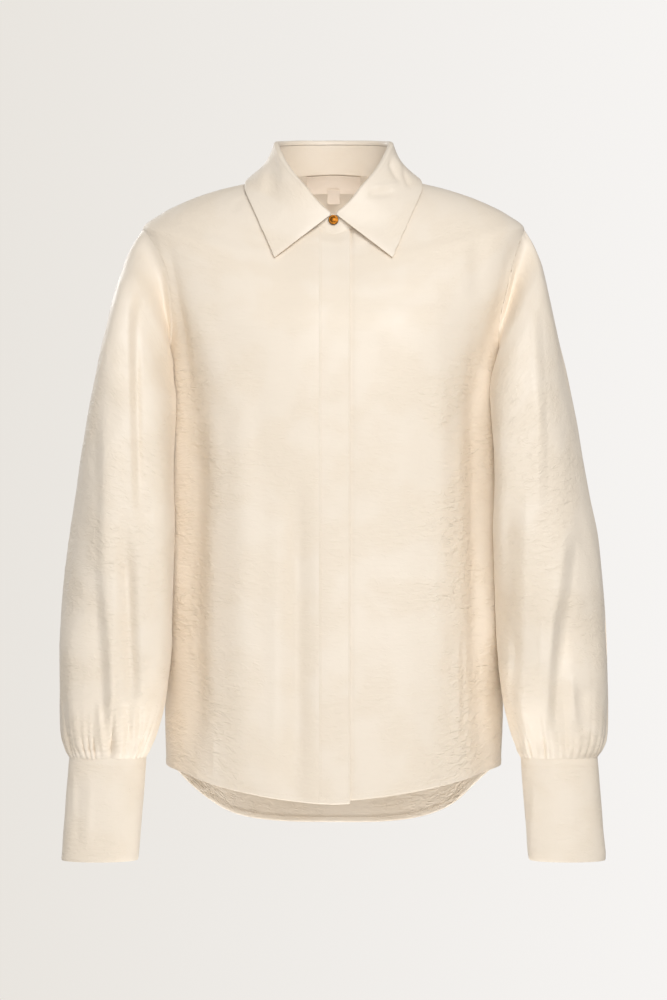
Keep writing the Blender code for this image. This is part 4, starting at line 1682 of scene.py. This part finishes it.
    def leaf(self) -> bpy.types.Object:
        """Builds the leaf, with its dents and a pressed edge."""
        points = self.leaf_surface()
        normals = grid_normals(points, False)
        from_edge = run_length(points[::-1], 0)[::-1]
        across = run_length(points, 1)
        from_end = np.minimum(across, across[:, -1:] - across)
        edge = bell(from_edge, self.edge_width) + bell(from_end, self.edge_width)
        edge = self.edge_round * edge
        inside = ease(from_edge / 9.0) * ease(from_end / 9.0)
        falling = ease((np.arange(len(points))[:, None] - 14.0) / 6.0)
        dents = creases_at(self.creases, points, ease(0.5 - points[..., 1] / 12.0))
        out = (swells_at(self.swells, points) * inside + dents * inside) * falling
        outer = points + normals * (out - edge)[..., None]
        inner = points + normals * (out - self.leaf_wall + edge)[..., None]
        piece = cloth_shell("collar_leaf_cloth", outer, inner, self.finish, origin=(3.2, 0.0))
        dress(piece, "viscose_satin", "collar_leaf")
        return piece

    def build(self) -> list[bpy.types.Object]:
        """Builds both pieces."""
        return [self.stand(), self.leaf()]


# --- Trims ------------------------------------------------------------------------------------


@dataclass
class CollarButton:
    """A turned brass button on a hidden shank: a shallow dome with a rounded rim.

    Attributes:
        section: Radius and height of its half section, from the dome's middle to the underside's.
        steps: Corners round it.
        z: Height of its middle.
        lift: How far it is seated out from the stand.
    """

    collar: Collar
    finish: bpy.types.Material
    section: tuple[tuple[float, float], ...] = (
        (0.0, 2.35), (1.2, 2.32), (2.4, 2.22), (3.4, 2.06), (4.1, 1.98), (4.55, 2.08), (4.95, 1.95),
        (5.2, 1.6), (5.3, 1.15), (5.1, 0.7), (4.6, 0.4), (3.0, 0.15), (0.0, 0.1),
    )
    steps: int = 56
    z: float = -43.0
    lift: float = 2.0

    def build(self) -> bpy.types.Object:
        """Turns the half section about the stand's normal at centre front."""
        turn = full_turn(self.steps)[0]
        radius, height = (np.array(column)[1:-1, None] for column in zip(*self.section))
        rings = np.stack((radius * np.cos(turn), radius * np.sin(turn), height + 0 * turn), axis=-1)
        poles = ((0, 0, self.section[0][1]), (0, 0, self.section[-1][1]))
        points = np.concatenate((rings.reshape(-1, 3), poles))
        here = np.arange(self.steps)
        after = (here + 1) % self.steps
        last = (len(rings) - 1) * self.steps
        top = np.stack((here, after, np.full_like(here, len(points) - 2)), axis=-1)
        under = np.stack((last + after, last + here, np.full_like(here, len(points) - 1)), axis=-1)
        sides = band_faces(len(rings), self.steps, True, self.steps)[:, ::-1]
        form = self.collar.form
        high = self.collar.stand_top(np.array(0.0))
        low = form.surface(0.0, form.neck)
        rise = unit(high - low)
        normal = unit(np.cross(ACROSS, rise))
        share = (self.z - low[2]) / (high[2] - low[2])
        seat = low + (high - low) * share + normal * self.lift
        turned = points @ np.stack((ACROSS, rise, normal)) + seat
        piece = new_object("collar_button_brass", turned, [sides, top, under], self.finish)
        dress(piece, "button_metal", "collar_button")
        return piece


@dataclass
class NeckLabels:
    """The blank label inside the back of the neck and the blank tab that hangs below it.

    Attributes:
        label_half: Half the label's width.
        label_drop: Its height.
        label_top: How far below the neck line it starts.
        label_hang: How far its free edge stands off.
        tab_half: Half the tab's width.
        tab_drop: How far below the label's top the tab starts and ends.
        tab_hang: How far its free edge stands off.
        tab_behind: How much further from the back the tab lies than the label.
        cloth_wall: Thickness of the back.
        room: Space between it and the label.
    """

    form: BodyForm
    finish: bpy.types.Material
    label_half: float = 29.5
    label_drop: float = 15.0
    label_top: float = 1.0
    label_hang: float = 4.5
    tab_half: float = 6.8
    tab_drop: tuple[float, float] = (11.0, 25.0)
    tab_hang: float = 3.0
    tab_behind: float = 4.2
    cloth_wall: float = 1.2
    room: float = 0.8
    wall: float = 0.7

    def strip(
        self, name: str, node: str, half: float, top: float, bottom: float, depth: float,
        hang: float,
    ) -> bpy.types.Object:
        """Builds a ribbon against the inside of the back.

        Args:
            name: The piece's name.
            node: Its solid.
            half: Half its width.
            top: Height of its sewn edge.
            bottom: Height of its free edge.
            depth: How far inside the back's outer face it lies.
            hang: How far its free edge stands off further.

        Returns:
            The object.
        """
        heights = np.linspace(self.form.armhole_top, self.form.neck, 400)
        levels = np.linspace(bottom, top, 15)
        height = np.interp(levels, self.form.rings.at(heights)["back_z"], heights)[:, None]
        x = np.linspace(half, -half, max(8, round(half)))[None, :]
        free = np.linspace(1.0, 0.0, 15)[:, None] ** 1.5 + 0 * x
        angle = math.pi - self.form.angle_at(x, height)
        points = self.form.surface(angle, height + 0 * x, -depth - hang * free)
        normals = grid_normals(points, False)
        piece = cloth_shell(name, points, points - normals * self.wall, self.finish)
        dress(piece, "label_ribbon", node)
        return piece

    def build(self) -> list[bpy.types.Object]:
        """Builds the label and the tab."""
        top = float(self.form.rings.at(self.form.neck)["back_z"]) - self.label_top
        deep, end = self.cloth_wall + self.room, top - self.label_drop
        high, low = (top - drop for drop in self.tab_drop)
        rows = (
            ("neck_label", self.label_half, top, end, deep, self.label_hang),
            ("size_tab", self.tab_half, high, low, deep + self.tab_behind, self.tab_hang),
        )
        return [self.strip(node + "_ribbon", node, *row) for node, *row in rows]


@dataclass
class Stitching:
    """Rows of lockstitch, each stitch a short capsule that dips into the cloth at both ends.

    Attributes:
        pitch: Length from stitch to stitch.
        length: Length of a stitch.
        radius: Radius of the thread.
        rings, sides: Rings of a stitch and corners of a ring.
    """

    finish: bpy.types.Material
    pitch: float = 2.8
    length: float = 2.2
    radius: float = 0.19
    rings: int = 5
    sides: int = 5

    def row(self, name: str, path: Grid, normals: Grid) -> bpy.types.Object:
        """Lays a row of stitches along a path.

        Args:
            name: The row's name.
            path: Points on the cloth, in order.
            normals: The cloth's outward direction at each.

        Returns:
            The object.
        """
        run = run_length(path[:, None], 0)[:, 0]
        centres = np.arange(self.pitch / 2, run[-1], self.pitch)
        share = np.linspace(-1.0, 1.0, self.rings)
        at = centres[:, None] + share * self.length / 2
        middle, out = (
            np.stack([np.interp(at, run, line[:, n]) for n in range(3)], axis=-1)
            for line in (path, normals)
        )
        out = unit(out)
        aside = unit(np.cross(unit(np.gradient(middle, axis=1)), out))
        middle = middle + out * (self.radius * (0.9 - 1.6 * share**2))[None, :, None]
        turn = full_turn(self.sides)[0]
        round_off = (self.radius * np.sqrt(1 - 0.8 * share**4))[None, :, None, None]
        ring = (
            aside[:, :, None] * np.cos(turn)[None, None, :, None]
            + out[:, :, None] * np.sin(turn)[None, None, :, None]
        )
        points = middle[:, :, None] + ring * round_off
        each = self.rings * self.sides
        first = (np.arange(len(centres)) * each)[:, None, None]
        walls = band_faces(self.rings, self.sides, True, self.sides)[None] + first
        end = np.arange(self.sides)
        caps = np.stack((end[::-1], end + each - self.sides)) + first
        faces = [walls.reshape(-1, 4)[:, ::-1], caps.reshape(-1, self.sides)[:, ::-1]]
        piece = new_object(name, points, faces, self.finish)
        dress(piece, "viscose_satin")
        return piece


# --- Studio -----------------------------------------------------------------------------------


@dataclass
class Studio:
    """A pale floor well below the hanging blouse, a pale surround and soft lamps.

    The key and the upper lamp stand in front, a weak one fills in from each side, one lights the
    back, and a small one looks up into the hem.

    Attributes:
        distance: From the lens to the blouse's middle, in metres.
        eye_z: Height of the lens, in metres.
        lens: Focal length, in millimetres.
        floor_z: Height of the floor, in metres.
        floor_radius: Its radius, in metres.
        floor_corners: Corners of its rim.
        painted_shade_left: Colour of the wall at the left of the view, darkened as painted shade.
        painted_light_right: The same at the right, lightened as painted light.
        painted_falloff_reach: How far aside the wall has each colour, as a share of the distance.
        surround_light: Strength of the light from all round.
    """

    distance: float = 3.2
    eye_z: float = -0.33
    lens: float = 109.7
    floor_z: float = -1.45
    floor_radius: float = 2.9
    floor_corners: int = 96
    painted_shade_left: str = "#E9E5DF"
    painted_light_right: str = "#F6F4F2"
    painted_falloff_reach: float = 0.11
    surround_light: float = 0.3
    surround_tint: str = "#FBF8F4"
    floor_colour: str = "#E8E5E0"

    def camera(self) -> None:
        """Sets a level camera straight in front."""
        data = bpy.data.cameras.new("camera")
        data.lens = self.lens
        data.sensor_width = 36.0
        made = bpy.data.objects.new("camera", data)
        made.location = (0.0, -self.distance, self.eye_z)
        made.rotation_euler = (QUARTER, 0.0, 0.0)
        bpy.context.scene.collection.objects.link(made)
        bpy.context.scene.camera = made

    def lamp(
        self, name: str, place: Sequence[float], aim_z: float, size: tuple[float, float],
        watts: float, spread: float,
    ) -> None:
        """Adds a rectangular soft lamp.

        Args:
            name: Its name.
            place: Where it stands, in metres.
            aim_z: Height of the point on the blouse's axis that it faces.
            size: Its width and height, in metres.
            watts: Its power.
            spread: How wide its light spreads, in degrees.
        """
        data = bpy.data.lights.new(name, "AREA")
        data.shape = "RECTANGLE"
        data.size, data.size_y = size
        data.energy = watts
        data.spread = math.radians(spread)
        made = bpy.data.objects.new(name, data)
        made.location = place
        aside = Vector(place) - Vector((0.0, 0.0, aim_z))
        made.rotation_euler = aside.to_track_quat("Z", "Y").to_euler()
        bpy.context.scene.collection.objects.link(made)

    def surround(self) -> None:
        """Sets the world: soft pale light, and for the eye a wall that pales to the right.

        The wall's paling is painted light: painted shade at its left, painted light at its right.
        """
        world = bpy.data.worlds.new("studio surround")
        world.use_nodes = True
        bpy.context.scene.world = world
        tree = world.node_tree
        tree.nodes.clear()
        direction = add_node(tree, "ShaderNodeTexCoord").outputs["Generated"]
        across = add_node(tree, "ShaderNodeSeparateXYZ", {0: direction}).outputs[0]
        # The wall seen by the eye is painted light: painted shade at the left, fading to painted
        # light at the right.
        share = mapped(tree, across, (-self.painted_falloff_reach, self.painted_falloff_reach, 0.0, 1.0))
        wall = blended(tree, share, self.painted_shade_left, self.painted_light_right)
        light, seen = (
            add_node(tree, "ShaderNodeBackground", {"Color": colour, "Strength": strength})
            for colour, strength in ((linear(self.surround_tint), self.surround_light), (wall, 1.0))
        )
        by_eye = add_node(tree, "ShaderNodeLightPath").outputs["Is Camera Ray"]
        terms = {0: by_eye, 1: light.outputs[0], 2: seen.outputs[0]}
        both = add_node(tree, "ShaderNodeMixShader", terms).outputs[0]
        add_node(tree, "ShaderNodeOutputWorld", {"Surface": both})

    def floor(self) -> None:
        """Lays a round pale floor with a fine matt grain, well below the blouse."""
        turn = full_turn(self.floor_corners)[0]
        rim = np.stack((np.cos(turn), np.sin(turn), 0 * turn), axis=-1) * self.floor_radius
        points = (rim + UP * self.floor_z) / MM
        made, tree = new_material("matt studio paper")
        surface = {
            "Base Color": linear(self.floor_colour), "Roughness": 0.9, "Specular IOR Level": 0.2,
            "Normal": bumped(tree, speckle(tree, 2.5, 2.0), 0.1, strength=0.3),
        }
        close_material(tree, surface)
        new_object("floor", points, [np.arange(self.floor_corners)[None]], made)

    def build(self) -> None:
        """Sets the camera, the surround, the floor and the lamps."""
        self.camera()
        self.surround()
        self.floor()
        for name, place, aim_z, size, watts, spread in (
            ("key", (0.15, -3.4, 0.1), -0.33, (0.7, 0.7), 22.0, 180.0),
            ("upper", (0.6, -2.8, 1.6), -0.2, (2.0, 1.2), 60.0, 180.0),
            ("rear", (-1.6, 2.4, 0.8), -0.35, (1.2, 1.2), 26.0, 180.0),
            ("left fill", (-2.4, -0.5, -0.2), -0.33, (1.0, 1.4), 5.5, 180.0),
            ("right fill", (2.4, -0.5, -0.2), -0.33, (1.0, 1.4), 2.0, 180.0),
            ("under", (0.0, -0.1, -1.3), -0.33, (0.4, 0.25), 1.1, 90.0),
        ):
            self.lamp(f"{name} lamp", place, aim_z, size, watts, spread)


# --- The whole --------------------------------------------------------------------------------


def main() -> None:
    """Builds the blouse and its studio, and reports each part."""
    logging.basicConfig(level=logging.INFO, format="%(name)s: %(message)s")
    scene = bpy.context.scene
    scene.view_settings.view_transform = "Standard"
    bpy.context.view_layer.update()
    Studio().build()
    log.info("studio set")

    finishes = Finishes.build()
    form = BodyForm()
    armholes = {
        Side.LEFT: Armhole(form, Side.LEFT, front_cut=21.0, front_power=0.9),
        Side.RIGHT: Armhole(form, Side.RIGHT, front_cut=29.0, front_power=0.9, front_lean=0.25),
    }
    body = Body(form, armholes, finishes.body)
    pieces = body.build()
    log.info("body built")
    stitching = Stitching(finishes.thread)
    for side, shape in SLEEVE_SHAPES.items():
        sleeve = Sleeve(armholes[side], finishes.sleeve, shape)
        cuff = Cuff(side, finishes.trim, shape.cuff_creases)
        pieces += [sleeve.build(), cuff.build(), cuff.stitches(stitching)]
        log.info("sleeve and cuff built, %s", side.word)
    pieces += body.stitches(stitching)
    collar = Collar(form, finishes.trim)
    pieces += collar.build()
    pieces.append(CollarButton(collar, finishes.brass).build())
    pieces += NeckLabels(form, finishes.ribbon).build()
    log.info("collar and trims built")
    for piece in pieces:
        log.info("%s: %d faces", piece.name, len(piece.data.polygons))


if __name__ == "__main__":
    main()
